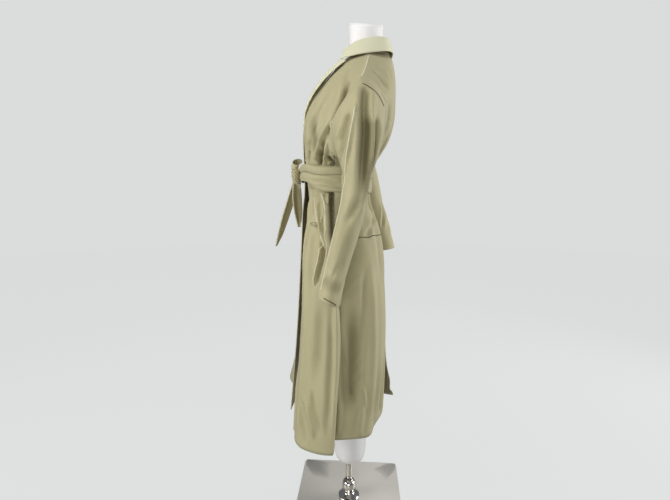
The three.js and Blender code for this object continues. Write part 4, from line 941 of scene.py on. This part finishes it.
# The far side is seen less, so its seams are the near ones moved by the lean of that side
FAR_SHIFT = {"near_sleeve": (10, 8), "near_back": (-3, 4), "near_front": (-4, 6)}


def lay_seams(sewn):
    """Adds the seam lines to the sewn pieces on both sides of the coat."""
    for tone, material, slot in (("pale", SEAM_THREAD_AND_HIGHLIGHT, "twill_light"), ("dark", PAINTED_SEAM_SHADOW, "twill")):
        lines = bpy.data.curves.new(f"{tone}_seams", "CURVE")
        lines.dimensions = "3D"
        lines.bevel_depth = SEAM_RADIUS[tone]
        lines.bevel_resolution = 1
        lines.use_fill_caps = True
        for seam in SEAM_LINES:
            if seam.tone != tone:
                continue
            for side in (1, -1):
                name = seam.piece if side > 0 else seam.piece.replace("near", "far")
                along, up = (0, 0) if side > 0 else FAR_SHIFT[seam.piece]
                line = [(side * x, y + along, z + up) for x, y, z in seam.line]
                lay_seam(lines, sewn[name], line, sleeve_axis(side) if "sleeve" in name else body_axis)
        drawn = place_object(f"{tone}_lines", lines)
        graph = bpy.context.evaluated_depsgraph_get()
        mesh = bpy.data.meshes.new_from_object(drawn.evaluated_get(graph))
        bpy.data.objects.remove(drawn)
        for face in mesh.polygons:
            face.use_smooth = True
        seams = place_object(f"{tone}_seams", mesh)
        mesh.materials.clear()
        mesh.materials.append(material)
        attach(seams, "root")


# Each cloth piece, with its levels of rounding, its flat size in metres and its cut area in square metres;
# a pale piece takes the lighter copy of the twill, which is painted light
Cut = namedtuple("Cut", "node name levels flat area held pale", defaults=(False,))
PIECES = [
    Cut("front_left", "near_front", 3, (0.42, 1.1), 0.24, "hung"),
    Cut("front_right", "far_front", 3, (0.46, 1.12), 0.274, "hung"),
    Cut("back_left", "near_back", 3, (0.34, 1.12), 0.246, "hung"),
    Cut("back_right", "far_back", 3, (0.36, 1.12), 0.247, "hung"),
    Cut("sleeve_left", "near_sleeve", 3, (0.44, 0.6), 0.128, "hung"),
    Cut("sleeve_right", "far_sleeve", 3, (0.44, 0.54), 0.128, "hung"),
    Cut("collar", "turned_collar", 3, (0.44, 0.12), 0.036, "folded", pale=True),
    Cut("lapel_left", "near_lapel", 2, (0.19, 0.06), 0.0068, "folded", pale=True),
    Cut("lapel_right", "far_lapel", 2, (0.19, 0.06), 0.0068, "folded", pale=True),
    Cut("belt_lower", "lower_belt_turn", 2, (0.82, 0.045), 0.029, "stretched"),
    Cut("belt_upper", "upper_belt_turn", 2, (0.82, 0.03), 0.0165, "stretched"),
    Cut("belt_loop", "bow_loop", 2, (0.09, 0.04), 0.0024, "folded"),
    Cut("belt_tail_long", "long_belt_tail", 2, (0.2, 0.05), 0.0083, "hung"),
    Cut("belt_tail_short", "short_belt_tail", 2, (0.12, 0.046), 0.0036, "hung"),
]
TRIM = [
    ("belt_carrier_left", "near_carrier"),
    ("belt_carrier_right", "far_carrier"),
    ("pocket_left", "near_pocket_welt"),
    ("pocket_right", "far_pocket_welt"),
]
TRIM_LEVELS = 2
KNOT_LEVELS = 3
STAND_LEVELS = 2


# The knot is drawn tight onto the belt and padded out by the wraps, which cross it in slanted folds
KNOT_LEAN = 0.003
KNOT_BULK = (1.08, 1.2, 1.06)
KNOT_MIDDLE = (0.004, -0.160, 1.018)
KNOT_FOLD_DEPTH = 0.0013
KNOT_FOLDS_PER_METRE = 95.0
KNOT_FOLD_SLANT = 1.4
# A normal that points this far back to the middle belongs to the inner face
FACES_IN = -0.2


def tone_inside(piece, axis):
    """Paints shade on the inner face of a wound piece, which little light reaches."""
    mesh = piece.data
    tones = []
    for vertex in mesh.vertices:
        out = Vector((vertex.co.x - axis[0], vertex.co.y - axis[1], 0)).normalized()
        tones.append(INNER_FACE_PAINTED_SHADE if vertex.normal.dot(out) < FACES_IN else 0.0)
    store_values(mesh, "painted_fold_shade", tones)


def pull_knot(piece):
    tones = []
    for vertex in piece.data.vertices:
        height = vertex.co.z + KNOT_FOLD_SLANT * vertex.co.y
        fold = math.sin(2 * math.pi * KNOT_FOLDS_PER_METRE * height)
        out = Vector((vertex.normal.x, vertex.normal.y, 0))
        vertex.co += KNOT_FOLD_DEPTH * fold * out
        # Painted shade in the troughs of the slanted folds
        tones.append(max(0.0, -fold))
        for axis in range(3):
            middle = KNOT_MIDDLE[axis]
            vertex.co[axis] = middle + KNOT_BULK[axis] * (vertex.co[axis] - middle)
        vertex.co.y += KNOT_LEAN
    store_values(piece.data, "painted_fold_shade", tones)


def sew_pieces():
    sewn = {}
    for cut in PIECES:
        piece = refined_copy(cut.node, cut.name, cut.levels)
        mark_edges(piece)
        if cut.node in FOLDS:
            side = 1 if cut.node.endswith("left") else -1
            axis = sleeve_axis(side) if cut.node.startswith("sleeve") else body_axis
            press_folds(piece, FOLDS[cut.node], axis)
        if cut.node == "belt_loop":
            tone_inside(piece, KNOT_MIDDLE)
        slot, cloth = ("twill_light", PAINTED_LIT_TWILL) if cut.pale else ("twill", OLIVE_TWILL)
        finish_piece(piece, [cut.node], cloth)
        corners = [vertex.co.copy() for vertex in piece.data.vertices]
        sewn[cut.name] = BVHTree.FromPolygons(corners, [face.vertices for face in piece.data.polygons])
    for node, name in TRIM:
        piece = refined_copy(node, name, TRIM_LEVELS)
        mark_edges(piece)
        finish_piece(piece, [node], OLIVE_TWILL)
    knot = refined_copy("belt_knot", "belt_knot_wrap", KNOT_LEVELS)
    pull_knot(knot)
    mark_edges(knot)
    finish_piece(knot, ["belt_knot"], OLIVE_TWILL)
    lay_seams(sewn)


def build_stand():
    form = refined_copy("form_body", "dress_form", STAND_LEVELS)
    finish_piece(form, ["form_body"], FORM_PAINT)
    for node, name, material, slot in (
        ("pole", "chrome_pole", CHROME, "chrome"),
        ("pole_hub", "chrome_hub", CHROME, "chrome"),
        ("base_plate", "steel_plate", PLATE_STEEL, "steel"),
    ):
        finish_piece(refined_copy(node, name, STAND_LEVELS), [node], material)


# One even pale tone for the wall and the floor
BACKDROP = (0.70, 0.72, 0.71)
FLOOR_PAPER = (0.05, 0.05, 0.05)
FLOOR_RADIUS = 9.0
FLOOR_GLOW = 0.36
FLOOR_SEEN = 0.62
SKY_LIGHT = (0.86, 0.90, 1.0)
SKY_STRENGTH = 0.17


def pale_floor():
    mesh = bpy.data.meshes.new("pale_floor")
    shape = bmesh.new()
    bmesh.ops.create_circle(shape, cap_ends=True, segments=64, radius=FLOOR_RADIUS)
    shape.to_mesh(mesh)
    shape.free()
    floor = place_object("pale_floor", mesh)
    material, tree, shader = new_material("floor_paper")
    shader.inputs["Base Color"].default_value = (*FLOOR_PAPER, 1)
    shader.inputs["Roughness"].default_value = 0.95
    shader.inputs["Specular IOR Level"].default_value = 0.0
    glow = add(tree, "ShaderNodeEmission", values=[("Color", (*BACKDROP, 1))])
    path = add(tree, "ShaderNodeLightPath")
    seen = math_node(tree, "MULTIPLY_ADD", path.outputs["Is Camera Ray"], FLOOR_SEEN, FLOOR_GLOW)
    tree.links.new(seen, glow.inputs["Strength"])
    both = add(tree, "ShaderNodeAddShader")
    tree.links.new(shader.outputs[0], both.inputs[0])
    tree.links.new(glow.outputs[0], both.inputs[1])
    tree.links.new(both.outputs[0], tree.nodes["Material Output"].inputs["Surface"])
    mesh.materials.append(material)


# Soft lights: where each stands, how high on the coat it aims, its width in metres and its power in watts
WINDOWS = [
    ("front_window", (0.7, -2.0, 1.5), 0.8, 1.1, 31),
    ("back_window", (-0.4, 2.2, 1.2), 0.6, 1.1, 41),
    ("side_window", (2.3, -0.4, 1.0), 0.6, 1.2, 21),
    ("top_window", (0.9, 0.3, 2.8), 1.0, 1.0, 13),
    ("far_side_light", (-1.8, 0.4, 2.2), 0.9, 1.3, 13),
]


def soft_light(name, place, aim_height, size, power):
    data = bpy.data.lights.new(name, "AREA")
    data.shape = "SQUARE"
    data.size = size
    data.energy = power
    light = place_object(name, data)
    light.location = place
    turn_to(light, Vector((0, 0, aim_height)) - Vector(place))


def studio():
    world = bpy.data.worlds.new("studio")
    scene.world = world
    world.use_nodes = True
    tree = world.node_tree
    seen = tree.nodes["Background"]
    seen.inputs["Color"].default_value = (*BACKDROP, 1)
    sky = [("Color", (*SKY_LIGHT, 1)), ("Strength", SKY_STRENGTH)]
    lighting = add(tree, "ShaderNodeBackground", values=sky)
    path = add(tree, "ShaderNodeLightPath")
    either = add(tree, "ShaderNodeMixShader")
    tree.links.new(path.outputs["Is Camera Ray"], either.inputs[0])
    tree.links.new(lighting.outputs[0], either.inputs[1])
    tree.links.new(seen.outputs[0], either.inputs[2])
    tree.links.new(either.outputs[0], tree.nodes["World Output"].inputs["Surface"])
    for window in WINDOWS:
        soft_light(*window)
    scene.view_settings.view_transform = "Standard"


side_camera()
sew_pieces()
build_stand()
pale_floor()
studio()
